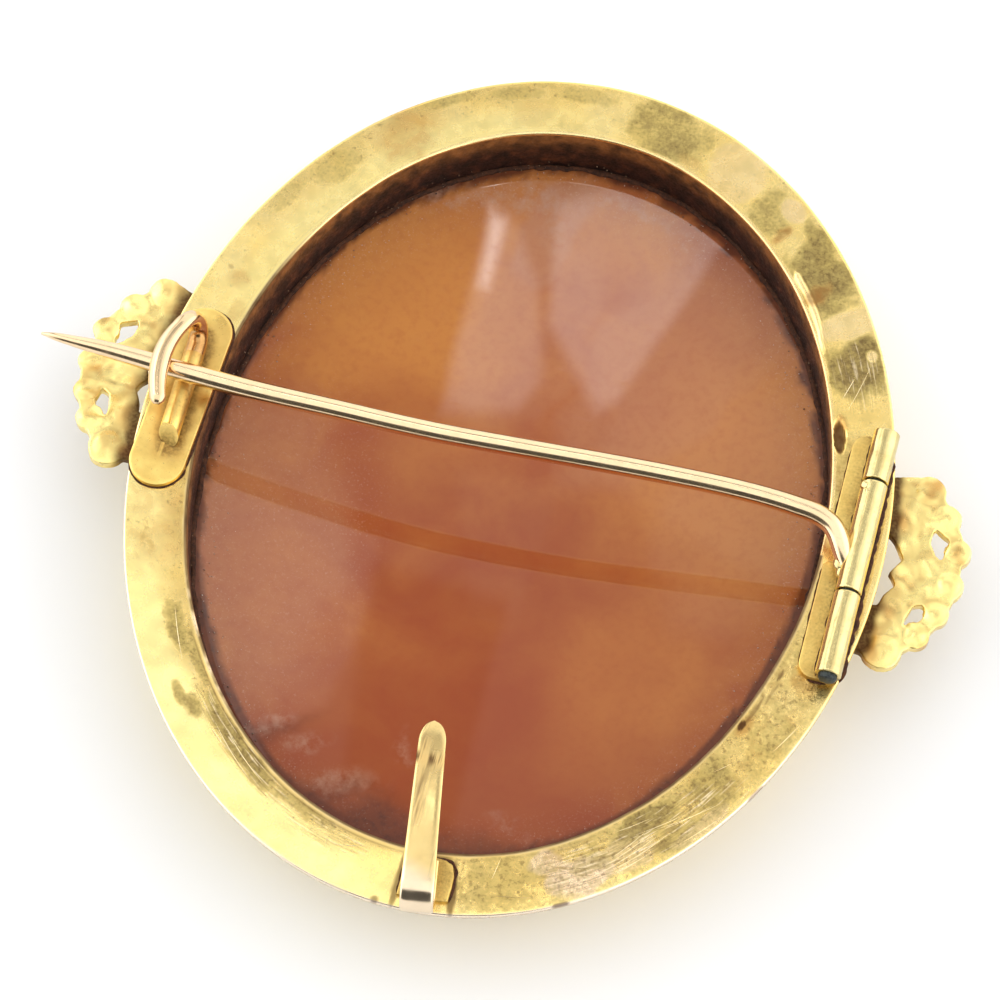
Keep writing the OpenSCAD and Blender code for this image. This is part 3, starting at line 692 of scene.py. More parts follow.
    # Painted highlight over the outer part at 165-268 degrees and the inner part at 95-172 degrees
    glow = most(stretch(165, 268, 20) * smoothstep(3.2, 1.4, inset),
                0.7 * stretch(95, 172, 15) * smoothstep(1.2, 2.6, inset))
    set_attributes(
        obj,
        tarnish=tarnish * (1 - 0.95 * clean) * on_back,
        worn=most(spots(WORN_SPOTS, wobble), 0.36 * pale, 0.30 * rim_line, 0.30 * strip) * on_back,
        # Rub wear on the edges, partly painted highlight
        rubbed=most(0.75 * outer_bevel_highlight, 0.4 * lip * clean_lip),
        # Dirt, with painted shade on the underside
        dirt=most(dirt * on_back, underside_shade),
        stain=most(spots(STAINED, wobble, 0.4, 0.4), pit) * on_back,
        glow=0.75 * glow * (1 - np.minimum(1, 1.5 * tarnish)),
        # On the inner wall this attribute paints a lighter reflection near the top, on the back ring painted
        # shade
        shade=np.where(on_wall, smoothstep(-2.2, -0.4, z), shade * (1 - clean) * on_back),
        melted=melted * on_back,
        filed=spots(FILED, wobble, 0.2) * on_back)
    ring_place = stack(t * (HALF_W + HALF_L) / 2, inset, z)
    where = obj.data.attributes.new("ring_place", "FLOAT_VECTOR", "POINT")
    where.data.foreach_set("vector", ring_place.astype(np.float32).ravel())


# Scratches and file marks on the back ring: degrees and inset at each end, width in millimetres
SCRATCHES = [
    (283.2, 3.2, 284.6, 2.1, 0.06), (284.6, 2.1, 286.3, 3.4, 0.05), (302, 0.95, 312.5, 1.35, 0.05),
    (301.5, 1.15, 311, 1.6, 0.04), (302, 1.4, 310, 1.9, 0.05), (303, 1.65, 309.5, 2.15, 0.04),
    (303.5, 0.75, 309, 0.95, 0.04), (311, 2, 321, 0.95, 0.06), (312, 1.75, 320, 1.15, 0.04),
    (308, 2.3, 316, 1.75, 0.04), (293, 2.6, 297.5, 1.8, 0.05), (294, 2.9, 299, 2.2, 0.05),
    (295.5, 2.2, 300.5, 1.5, 0.04), (297, 1.6, 301, 0.95, 0.04), (284.5, 1.2, 291, 0.75, 0.04),
    (22.5, 2.7, 29, 0.75, 0.05), (23.5, 2.4, 28, 1.05, 0.035), (24.5, 2.9, 27.5, 1.9, 0.03),
    (331, 0.9, 336, 0.6, 0.03), (323, 2.6, 326, 2.2, 0.06), (230, 2.55, 241, 2.2, 0.03),
    (232, 2.9, 243, 2.6, 0.03), (211, 2.65, 219, 2.3, 0.03), (258, 2.2, 263, 2.9, 0.03),
    (305, 3, 311, 2.7, 0.04), (313.5, 0.5, 319, 0.35, 0.04)
]


def build_scratches(gold):
    """Fine burrs along scratches and file marks, standing a hair above the ring."""
    parts = []
    for start_deg, start_in, end_deg, end_in, width in SCRATCHES:
        share = np.linspace(0, 1, 14)
        t = np.radians(start_deg + (end_deg - start_deg) * share)
        path = on_oval(t, start_in + (end_in - start_in) * share, 0)
        path[:, 2] = hammering(path) + 0.004
        swell = np.sin(np.pi * (0.04 + 0.92 * share))
        parts.append(sweep(path, width / 2 * swell, 0.014 * swell, sides=6))
    add_piece("ring_scratches", *merge_meshes(*parts), gold, "brooch", slot="frame_gold")


# Shell

# Rows of petals: count, reach, notch between them, its sharpness, turn, height at foot and at rim
PETALS = [
    (3, 0.1, 0.2, 3, 0, 0.88, 1), (4, 0.2, 0.18, 3, 15, 0.64, 0.9), (6, 0.33, 0.18, 3, 30, 0.48, 0.78),
    (6, 0.49, 0.2, 3, 0, 0.34, 0.64), (8, 0.74, 0.42, 1, 22.5, 0.24, 0.46), (8, 0.98, 0.42, 1, 0, 0.1, 0.28)
]
FIELD_W = SHELL_W - PLAIN_BORDER
FIELD_L = SHELL_L - PLAIN_BORDER


def front_z(x, y):
    return SHELL_FRONT_Z - FRONT_BULGE * (1 - (x / SHELL_W) ** 2 - (y / SHELL_L) ** 2)


def petal_side(row, deg):
    """0 in the middle of a petal and 1 between two of them."""
    count, turn = row[0], row[4]
    return 1 - np.abs(2 * (((deg - turn + 720) * count / 360) % 1) - 1)


def petal_reach(n, deg):
    """How far a row of petals reaches, as a share of the carved field."""
    if n < 0:
        return np.zeros(len(deg))
    reach, notch, sharpness = PETALS[n][1:4]
    uneven = 1 + 0.05 * np.sin(np.radians(2 * deg + 50 * n)) + 0.03 * np.sin(np.radians(deg + 130 * n))
    side = petal_side(PETALS[n], deg) ** sharpness
    return most(np.minimum(reach * uneven, 1) * (1 - notch * side), petal_reach(n - 1, deg) + 0.03)


def petal_height(row, step, side):
    sharpness, foot, rim = row[3], row[5], row[6]
    rise = (foot + (rim - foot) * step ** 0.7) * (1 - 0.1 * smoothstep(0.9, 1.0, step))
    groove = 0.35 * step * side ** 8
    rib = 0.3 * (1 - side) ** 6 if sharpness < 2 else 0
    return rise * (1 - groove - rib)


# Cloudy fields of the shell's back: x, y, half sizes, turn in degrees, strength. The pale fields are partly
# painted reflections of the lamps, the deep fields partly a painted shadow of the pin and a painted darker
# reflection.
PALE_AND_REFLECTION_FIELDS = [
    (-2.2, 12, 3.6, 7, -12, 0.35), (6.2, 11, 4.6, 8, -24, 0.45), (-13.5, -5.5, 4.6, 10, 10, 0.45),
    (8, 14, 5, 5, 0, 0.35), (12.5, 3.5, 4.5, 8, 0, 0.25), (-2.2, 18.5, 1.6, 4, -8, 0.8)
]
WARM_FIELDS = [
    (-10.5, 12.5, 7, 7, 20, 0.75), (12.5, 6, 6, 9, 0, 0.7), (-3, 19.5, 7, 3, 0, 0.5),
    (10, -8, 5, 7, 0, 0.3), (-6, 6, 4, 5, 0, 0.35)
]
DEEP_AND_SHADOW_FIELDS = [
    (-7.5, 2, 4.5, 6.5, 0, 0.5), (-8.5, -4.5, 7, 1.3, -32, 0.6), (3, -8, 9, 9, 0, 0.6),
    (0, -18, 12, 5, 0, 0.75), (3, -1.5, 7, 4, 0, 0.3), (2, -13, 12, 4, 0, 0.7)
]
# Old dirt and pale flakes near the shell's rim, in the same columns
RIM_DIRT = [
    (-4.2, -21.9, 3.4, 1.7, 10, 0.9), (-7.4, -20.4, 2.8, 1.1, 22, 0.7), (-0.8, -22.3, 3, 1.4, 0, 0.9),
    (4.6, -21.7, 4.5, 1.4, -10, 0.75), (-3.8, -20.4, 2.6, 1.2, 15, 0.35), (-10.8, -18, 3.2, 0.7, 38, 0.5)
]
RIM_FLAKES = [
    (-10.6, -16.2, 1.2, 0.6, 40, 0.65), (-8.6, -17.2, 1.4, 0.6, 30, 0.65), (-2.6, -15.8, 0.5, 0.7, 0, 0.5),
    (-5.4, -19, 1.8, 0.8, 20, 0.5), (5.2, -19.4, 1.6, 0.6, -15, 0.5), (-9.6, 19.4, 1.8, 0.7, 30, 0.6),
    (-7, 20.3, 2, 0.6, 18, 0.75), (-3.4, 20.7, 2.2, 1, 5, 0.75), (1.6, 21, 2.4, 0.6, -5, 0.6),
    (-2.4, 18.6, 0.9, 1.6, 10, 0.5), (5.4, 20.2, 1.6, 0.6, -15, 0.45)
]


def field(points, table, seed, edge):
    """How strongly each point lies in any of a table's cloudy ovals."""
    x = points[:, 0] + ripples(points, seed, (1.3, 4.0), (0.4, 1.2))
    y = points[:, 1] + ripples(points, seed + 2, (1.3, 4.0), (0.4, 1.2))
    strongest = np.zeros(len(points))
    for cx, cy, half_x, half_y, turn, strength in table:
        c, s = math.cos(math.radians(turn)), math.sin(math.radians(turn))
        u = ((x - cx) * c + (y - cy) * s) / half_x
        v = ((y - cy) * c - (x - cx) * s) / half_y
        strongest = most(strongest, strength * smoothstep(1 + edge, 1 - edge, np.hypot(u, v)))
    return strongest


def build_shell(material):
    columns = 288
    deg = np.linspace(0, 360, columns, endpoint=False)
    c, s = np.cos(np.radians(deg)), np.sin(np.radians(deg))
    rings, carved, thin = [], [], []

    def add_ring(x, y, z, is_carved=0, thinness=0):
        rings.append(stack(x, y, z))
        carved.append(np.full(columns, is_carved))
        thin.append(np.full(columns, thinness))

    def field_place(share):
        return share * FIELD_W * c, share * (FIELD_W + (FIELD_L - FIELD_W) * share * share) * s

    steps = [0, 0.12, 0.25, 0.4, 0.55, 0.7, 0.8, 0.88, 0.94, 0.98, 1.0]
    for n, row in enumerate(PETALS):
        inner = petal_reach(n - 1, deg) + (0.008 if n else 0)
        outer = petal_reach(n, deg)
        side = petal_side(row, deg)
        for step in steps if n else steps[1:]:
            x, y = field_place(inner + (outer - inner) * step)
            height = petal_height(row, step, side)
            add_ring(x, y, front_z(x, y) - RELIEF_H * height, 1, smoothstep(0.6, 0.1, height))
    x0, y0 = field_place(petal_reach(len(PETALS) - 1, deg) + 0.01)
    for step in np.linspace(0, 1, 12):
        x, y = x0 * (1 - step) + SHELL_W * c * step, y0 * (1 - step) + SHELL_L * s * step
        add_ring(x, y, front_z(x, y))
    back_rows = 70
    for r in np.arange(back_rows, 0, -1) / back_rows:
        x, y = SHELL_W * r * c, SHELL_L * r * s
        z = SHELL_BACK_Z - BACK_HOLLOW * (1 - r * r) - 0.05 * smoothstep(0.97, 1, r)
        add_ring(x, y, z + 0.008 * (1 - r ** 4) * rough(stack(x, y, z), 7.0, 11))
    heart = RELIEF_H * PETALS[0][5]
    points = np.concatenate([*rings, [[0, 0, front_z(0, 0) - heart], [0, 0, rings[-1][:, 2].mean()]]])
    faces = [*grid_faces(len(rings), columns), *pole_faces(len(rings), columns)]
    obj = add_piece("cameo_shell", points, faces, material, "brooch", ["cameo"], "shell", 50)
    x, y, z = points.T
    flat = points * (1, 1, 0)
    on_hollow = z > SHELL_BACK_Z - BACK_HOLLOW - 0.1
    rim = np.hypot(x / SHELL_W, y / SHELL_L)
    uneven = rim + ripples(flat, 51, (0.02, 1.5), (0.012, 0.4))
    # Dirt and painted shade in a band that follows the frame's lip where it hides the shell, a little off
    # centre
    lip_shade_and_dirt = np.hypot((x + 0.35) / (HALF_W - RING_W), (y - 1.5) / (HALF_L - RING_W))
    lip_shade_and_dirt += 0.45 * (uneven - rim) - 0.010 * smoothstep(13.0, 17.0, -y) - 0.005 * (x > 0)
    rim_dirt_and_shade = most(0.9 * smoothstep(0.966, 0.988, uneven), 0.85 * smoothstep(0.970, 0.984, lip_shade_and_dirt),
                 0.9 * field(flat, RIM_DIRT, 61, 0.75))
    # Pale dust near the rim, and a pale patch low on the left that is partly a painted reflection
    low_left = np.hypot((x + 12.0) / 6.0, (y + 6.0) / 14.0)
    dust_and_reflection = most(0.45 * smoothstep(0.80, 0.95, uneven) * smoothstep(1.0, 0.97, uneven),
                 0.30 * smoothstep(1.1, 0.5, low_left))
    set_attributes(
        obj,
        carved=np.concatenate([*carved, [1, 0]]),
        thin=np.concatenate([*thin, [0, 0]]),
        pale=field(flat, PALE_AND_REFLECTION_FIELDS, 21, 0.22),
        warm=field(flat, WARM_FIELDS, 31, 0.5),
        deep=field(flat, DEEP_AND_SHADOW_FIELDS, 41, 0.5),
        dirt=rim_dirt_and_shade * on_hollow,
        flakes=field(flat, RIM_FLAKES, 65, 0.5) * on_hollow,
        dust=dust_and_reflection * on_hollow)


# Pin and hinge

# Stations of the pin's stem: share of its length, then shares of its bow, height and radius
STEM = [
    (0.01, -0.42, -0.15, 0.9), (0.0152, -0.19, 0.05, 1), (0.0212, 0.07, 0.32, 1), (0.0275, 0.33, 0.53, 1),
    (0.036, 0.57, 0.71, 1), (0.046, 0.72, 0.81, 1), (0.058, 0.82, 0.88, 1), (0.082, 0.9, 0.94, 1),
    (0.114, 0.97, 0.97, 1), (0.16, 1, 1, 1), (0.24, 0.95, 1, 1), (0.32, 0.84, 1, 1), (0.41, 0.68, 1, 1),
    (0.5, 0.55, 1, 1), (0.64, 0.5, 1, 1), (0.76, 0.5, 1, 1), (0.83, 0.58, 1, 0.98), (0.88, 0.67, 1, 0.9),
    (0.92, 0.72, 1, 0.78), (0.96, 0.74, 1, 0.56), (0.985, 0.75, 1, 0.36), (1, 0.75, 1, 0.12)
]


def tube(start, end, seed, play):
    """A knuckle's tube along Y, a little dented, with soft edges and some play round the rod."""
    soft, dents = 0.05, 0.02
    bore_r = ROD_R + play
    rim, shoulder = BARREL_R - soft * 1.4, BARREL_R - soft * 0.4
    profile = [(start, rim), (start + soft * 0.4, shoulder)]
    profile += [(y, BARREL_R) for y in np.linspace(start + soft, end - soft, 60)]
    profile += [(end - soft * 0.4, shoulder), (end, rim), (end, bore_r), (start, bore_r)]
    points, faces = lathe_y(profile, HINGE_X, HINGE_Z, 72)
    bump = ripples(points * (1, 0.45, 1), seed, (dents, 0.9), (0.5 * dents, 0.35))
    radial = (points - (HINGE_X, 0, HINGE_Z)) * (1, 0, 1)
    length = np.linalg.norm(radial, axis=1)
    outer = length > bore_r + 0.05
    points += radial / length[:, None] * (np.minimum(bump, 0.0) * outer)[:, None]
    return points, faces


def tube_shade_and_reflection(points, seed):
    """Dirt and painted shade low on a knuckle's sides, and a painted dark reflection along a wavy line near
    its top.
    """
    up = points[:, 2] - HINGE_Z
    angle = np.degrees(np.arctan2(up, points[:, 0] - HINGE_X))
    wavy = angle - ripples(points, seed, (9, 1.6), (4, 0.5))
    low = smoothstep(0.05, -0.35, up + 0.2 * rough(points, 0.6, seed + 2))
    return most(0.45 * bell(wavy, 112, 5), 0.8 * low)


def build_pin(gold, pale):
    share = np.concatenate([np.linspace(STEM[0][0], 0.1, 60)[:-1], np.linspace(0.1, 1, 220)])
    bow, height, thick = spline(share, STEM)
    stem_z = HINGE_Z + (PIN_Z - HINGE_Z) * height
    centres = stack(HINGE_X - share * PIN_LEN, PIN_BOW * bow, stem_z)
    centres[:, 1] += 0.025 * rough(centres, 6.0, 61) * smoothstep(0.05, 0.2, share)
    wire = sweep(centres, WIRE_R * thick, WIRE_R * thick, sides=40)
    add_piece("pin_stem", *wire, gold, "pin", ["pin"], "rose_gold")
    near, far = KNUCKLE_ENDS[2:4]
    points, faces = tube(near, far, 64, 0.04)
    knuckle = add_piece("pin_knuckle", points, faces, pale, "pin", slot="pale_gold")
    # Painted shade and a painted dark reflection on the knuckle, with some dirt
    set_attributes(knuckle, dirt=tube_shade_and_reflection(points, 160))
    # Lumps of solder by the knuckle: middle, half sizes, seed and unevenness
    lumps = [
        (-0.78, -0.62, -0.10, (0.50, 0.75, 0.42), 65, 0.12),
        (-0.72, 0.10, 0.05, (0.50, 0.85, 0.42), 66, 0.12),
        (-0.66, -1.25, -0.18, (0.34, 0.50, 0.32), 70, 0.15),
        (-0.42, far - 0.35, 0.42, (0.34, 0.36, 0.28), 68),
        (-0.22, far - 0.75, 0.52, (0.28, 0.50, 0.20), 69)
    ]
    solder = merge_meshes(*(blob((HINGE_X + x, y, HINGE_Z + z), *lump) for x, y, z, *lump in lumps))
    add_piece("pin_solder", *solder, pale, "pin", slot="pale_gold")


def build_hinge(plate_gold, pale, iron):
    near, far, left = HINGE_LOW.y, HINGE_HIGH.y, HINGE_LOW.x
    right = HINGE_X + BARREL_R + 0.3
    corner = 0.9
    edge_share = 0.985

    def rim_x(y):
        return min(right, HALF_W * edge_share * math.sqrt(max(0, 1 - (y / (HALF_L * edge_share)) ** 2)))

    turn = np.radians(np.arange(0, 91, 15))
    notch = HINGE_X - BARREL_R - 0.12
    outline = [(left + corner - corner * math.sin(a), far - corner + corner * math.cos(a)) for a in turn]
    outline += [(left, 4.0), (left + 0.02, 2.2), (left, 1.85), (notch - 0.10, 1.75), (notch, 1.55),
                (notch, -0.25), (notch - 0.12, -0.42), (left + 0.25, -0.5), (left, -0.75), (left, -3.5)]
    outline += [(left + corner - corner * math.cos(a), near + corner - corner * math.sin(a)) for a in turn]
    outline += [(rim_x(y), y) for y in np.linspace(near, far, 40)]
    points, faces = flat_plate(outline, -PLATE_SINK, PLATE_T + PLATE_SINK)
    points[:, 2] += 0.03 * rough(points, 1.4, 71) * (points[:, 2] > 0.2)
    parts = [(points, faces)]
    webs = (KNUCKLE_ENDS[0:2], KNUCKLE_ENDS[4:6])
    for start, end in webs:
        y = np.linspace(start + 0.08, end - 0.08, 40)
        path = stack(HINGE_X, y, (HINGE_Z + PLATE_T) / 2 - 0.1)
        wide = 0.62 + 0.10 * rough(path, 0.8, 73)
        parts.append(sweep(path, wide, 0 * y + (HINGE_Z - PLATE_T) / 2 + 0.05, (1, 0, 0), 16, 0.6))
    points, faces = merge_meshes(*parts)
    plate = add_piece("hinge_plate", points, faces, plate_gold, "brooch", ["hinge"], "pale_gold")
    # Dirt and painted shade on the plate beside the knuckles
    beside = np.abs(points[:, 0] - HINGE_X) - BARREL_R + 0.25 * rough(points, 0.9, 74)
    set_attributes(plate, dirt=0.15 + 0.45 * smoothstep(0.9, 0.0, beside),
                   stain=0.4 * smoothstep(-0.2, 0.8, rough(points, 1.4, 76)))
    points, faces = merge_meshes(tube(*webs[0], 75, 0.02), tube(*webs[1], 78, 0.02))
    knuckles = add_piece("hinge_knuckles", points, faces, pale, "brooch", slot="pale_gold")
    # Painted shade and a painted dark reflection on the knuckles, with some dirt
    set_attributes(knuckles, dirt=tube_shade_and_reflection(points, 163))
    low, high = ROD_LOW.y, ROD_HIGH.y
    profile = [(low, 0.001), (low, ROD_R * 0.55), (low + 0.05, ROD_R * 0.86), (low + 0.16, ROD_R * 0.98),
               (low + 0.4, ROD_R), (high - 0.1, ROD_R), (high, ROD_R * 0.8), (high, 0.001)]
    points, faces = lathe_y(profile, HINGE_X, HINGE_Z, 48, capped=True)
    near_end = points[:, 1] < low + 0.3
    points[near_end] += 0.03 * rough(points[near_end], 0.3, 79)[:, None]
    add_piece("hinge_rod_iron", points, faces, iron, "brooch", ["hinge_rod"], "rod_iron")


# Catch

def catch_outline():
    """The catch's long oval plate, anticlockwise seen from above."""
    half_w, half_l = 1.67, 5.95
    straight = half_l - half_w
    outline = [(half_w, y) for y in np.linspace(-straight, straight, 34)[:-1]]
    outline += [(half_w * math.cos(a), straight + half_w * math.sin(a))
                for a in np.radians(np.arange(0, 180, 6))]
    outline += [(-x, -y) for x, y in outline]
    turn = math.radians(-2.7)
    c, s = math.cos(turn), math.sin(turn)
    return np.array(outline) @ np.array([[c, s], [-s, c]]) + (CATCH_X, CATCH_Y - 0.7)


def build_catch(gold, wire_gold):
    points, faces = flat_plate(catch_outline(), -PLATE_SINK, 0.42, 0.08, np.arange(0.35, 1.6, 0.12))
    top = points[:, 2] > 0.2
    points[:, 2] += (0.035 * rough(points, 1.8, 81) + 0.02 * rough(points, 0.7, 84)) * top
    plate = add_piece("catch_plate", points, faces, gold, "brooch", ["catch"], "frame_gold")
    # Dirt with a painted shadow and reflection of the wire round the leg and to its upper right
    x, y = points[:, :2].T
    past_leg = np.maximum(np.abs(y - 0.7) - 3.5, 0)
    far = np.hypot(x - CATCH_X - 0.15, past_leg) + 0.22 * rough(points, 0.8, 82)
    upper_right = smoothstep(0.2, 0.9, x - CATCH_X) * smoothstep(-2.0, 0.0, y)
    set_attributes(plate, dirt=0.65 * smoothstep(1.2, 0.60, far) * top,
                   stain=0.32 * most(upper_right, smoothstep(1.6, 0.9, far)) * top)

    # The wire lies on the plate as a leg, bends up and comes back over the stem as a flatter arm
    leg_x = CATCH_X + 0.1
    leg_r, arm_half_w, arm_half_t = 0.62, 0.57, 0.44
    leg_z, arm_z = 0.92, 3.345
    bend_y = CATCH_Y + 2.2
    bend_r = (arm_z - leg_z) / 2
    arm_len = 5.1
    sides = 36
    leg = np.linspace(CATCH_Y - 3.25, bend_y, 40, endpoint=False)
    turn = np.radians(np.linspace(-90, 90, 30))
    bent = (turn + np.pi / 2) / np.pi
    arm = np.linspace(0, 1, 60)[1:]
    arm_lean = 1.31 - np.where(arm < 0.4, 2.9, 1.95) * (arm - 0.4) ** 2
    lean = np.concatenate([0 * leg, 0.85 * bent ** 2, arm_lean])
    y = np.concatenate([leg, bend_y + bend_r * np.cos(turn), bend_y - arm * arm_len])
    z = np.concatenate([0 * leg + leg_z, (arm_z + leg_z) / 2 + bend_r * np.sin(turn), 0 * arm + arm_z])
    flatten = np.concatenate([0 * leg, bent, 1 + 0 * arm])
    swell = 0.86 + 0.14 * np.sin(np.radians(180 * np.clip(arm * 1.15, 0, 1)))
    round_end = np.sqrt(np.clip(1.002 - (np.maximum(arm - 0.89, 0) / 0.11) ** 2, 0.002, 1))
    scale = np.concatenate([1 + 0 * leg, 1 - 0.14 * bent, swell * round_end])
    wide = (leg_r + (arm_half_w - leg_r) * flatten) * scale
    high = (leg_r + (arm_half_t - leg_r) * flatten) * scale
    points, faces = sweep(stack(leg_x - lean, y, z), wide, high, (1, 0, 0), sides)
    cut = points[:sides] - (leg_x, 0, leg_z)
    points[:sides, 1] += 0.75 * cut[:, 2] - 0.25 * cut[:, 0] - 0.3
    wire = add_piece("catch_wire", points, faces, wire_gold, "brooch", slot="rose_gold")
    leg_rings = 37
    start_cap = -2
    on_leg = np.arange(len(faces)) < leg_rings * sides
    on_leg[start_cap] = True
    add_material(wire, gold, on_leg)
    x, y, z = points.T
    # Stain and dirt low on the wire, painted shade and reflection inside the bend, and painted shade under the
    # leg along the plate
    low = smoothstep(2.2, 0.9, z) * smoothstep(-2.0, -1.0, y)
    inside = smoothstep(3.1, 1.2, z) * smoothstep(bend_y - 1.5, bend_y, y)
    under = 0.8 * smoothstep(0.75, 0.45, z + 0.15 * rough(points, 0.6, 83))
    set_attributes(wire, stain=most(0.35 * low, 0.9 * inside), dirt=most(under, 0.40 * low))


# Tongue hook

def build_hook(foot_gold, strip_gold):
    lean = math.radians(9.2)
    hook_x, hook_len, half_t, fold_r = 1.4, 10.6, 0.225, 1.225
    foot_half_w, tip_half_w = 0.95, 0.77
    low_z = 0.35 + half_t - 0.08
    fold_y = -HALF_L + 0.926
    low = np.linspace(2.0, 0.05, 10)
    turn = np.radians(np.linspace(0, 180, 28))
    top = np.linspace(0, 1, 70)[1:]
    along = np.concatenate([low, -fold_r * np.sin(turn), top * (hook_len - fold_r)])
    z = np.concatenate([0 * low + low_z, low_z + fold_r * (1 - np.cos(turn)),
                        low_z + 2 * fold_r + 0.35 * np.sin(np.radians(150 * top))])
    round_end = np.sqrt(np.clip(1.002 - (np.maximum(top - 0.86, 0) / 0.14) ** 2, 0.002, 1))
    lower = np.ones(len(low) + len(turn))
    wide = np.concatenate([foot_half_w * lower, (foot_half_w + (tip_half_w - foot_half_w) * top) * round_end])
    thick = half_t * np.concatenate([lower, 0.35 + 0.65 * round_end])
    path = stack(hook_x - along * math.sin(lean), fold_y + along * math.cos(lean), z)
    points, faces = sweep(path, wide, thick, (math.cos(lean), math.sin(lean), 0), sides=32, power=0.42)
    tongue = add_piece("hook_tongue", points, faces, strip_gold, "brooch", slot="rose_gold")
    x, y = points[:, :2].T
    on_top = smoothstep(-17.6, -18.2, y) * smoothstep(-24.5, -23.0, y)
    near_tip = bell(y, -19.2, 0.45)
    beside = x - hook_x + (y - fold_y) * math.tan(lean)
    left_side = bell(beside, -0.35, 0.28) * smoothstep(-24.0, -22.0, y)
    set_attributes(tongue, dirt=on_top * most(0.85 * near_tip, 0.65 * left_side),
                   # Rub wear round the fold, partly a painted highlight and reflection that whitens and pinks
                   # it
                   rubbed=0.5 * smoothstep(-24.9, -26.4, y + 0.3 * beside),
                   stain=0.22 * on_top * most(near_tip, left_side))

    edge_share = 0.975
    foot_x = hook_x + 0.2
    left, right, back = foot_x - 1.45, foot_x + 1.45, -HALF_L + 3.3

    def rim_y(x):
        return -HALF_L * edge_share * math.sqrt(1 - (x / (HALF_W * edge_share)) ** 2)

    outline = [(x, rim_y(x)) for x in np.linspace(left, right, 14)]
    outline += [(right + 0.02, rim_y(right) + 0.9), (right - 0.02, back - 0.8), (right - 0.25, back - 0.2),
                (right - 0.7, back), (foot_x, back + 0.02), (left + 0.2, back - 0.05), (left, back - 0.3)]
    points, faces = flat_plate(outline, -PLATE_SINK, 0.36, 0.07)
    points[:, 2] += 0.03 * rough(points, 0.9, 91) * (points[:, 2] > 0.2)
    foot = add_piece("hook_foot", points, faces, foot_gold, "brooch", ["hook"], "rose_gold")
    set_attributes(foot, dirt=0.35 + 0.3 * rough(points * (3, 0.6, 1), 0.8, 93).clip(-1, 1))


# Scrolls

def build_scroll(node, gold, seed, dirt_and_shade_reach):
    """The CAD scroll with its edges melted soft and its face dented, as cast and hammered gold."""
    obj = link_object(node + "_ornament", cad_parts[node].data.copy())
    weld = obj.modifiers.new("weld", "WELD")
    weld.merge_threshold = 0.002 * MM
    remesh = obj.modifiers.new("remesh", "REMESH")
    remesh.mode = "VOXEL"
    remesh.voxel_size = 0.075 * MM
    soften = obj.modifiers.new("soften", "SMOOTH")
    soften.factor = 0.5
    soften.iterations = 10
    freeze(obj)
    points = np.zeros(len(obj.data.vertices) * 3)
    obj.data.vertices.foreach_get("co", points)
    points = (points.reshape(-1, 3) - np.array(CENTRE)) / MM
    dents = ripples(points * (1, 1, 0.2), seed, (0.11, 1.9), (0.05, 0.8))
    points[:, 2] += dents
    points[:, :2] += 0.05 * stack(rough(points, 0.9, seed + 2), rough(points, 0.9, seed + 3))
    obj.data.vertices.foreach_set("co", place(points).ravel())
    obj.data.update()
    gap = (np.hypot(points[:, 0] / HALF_W, points[:, 1] / HALF_L) - 1) * HALF_W
    gap += 0.25 * rough(points, 0.9, seed + 4)
    near_frame = 0.8 * smoothstep(2.6, 0.5, gap) * (0.45 + rough(points, 1.0, seed + 5)).clip(0, 1)
    hollows = 0.8 * smoothstep(0.01, -0.11, dents + 0.05 * rough(points, 0.5, seed + 6))
    spots = 0.35 * smoothstep(0.05, 0.65, rough(points, 0.8, seed + 7))
    # Dirt and painted shade in a band beside the frame, under the ring's edge
    set_attributes(obj, dirt=0.95 * smoothstep(dirt_and_shade_reach, 0.3 * dirt_and_shade_reach, gap),
                   stain=most(near_frame, hollows, spots))
    dress(obj, gold, "brooch", [node], "frame_gold", 80)


# Old dirt, and painted shade beside the knuckles

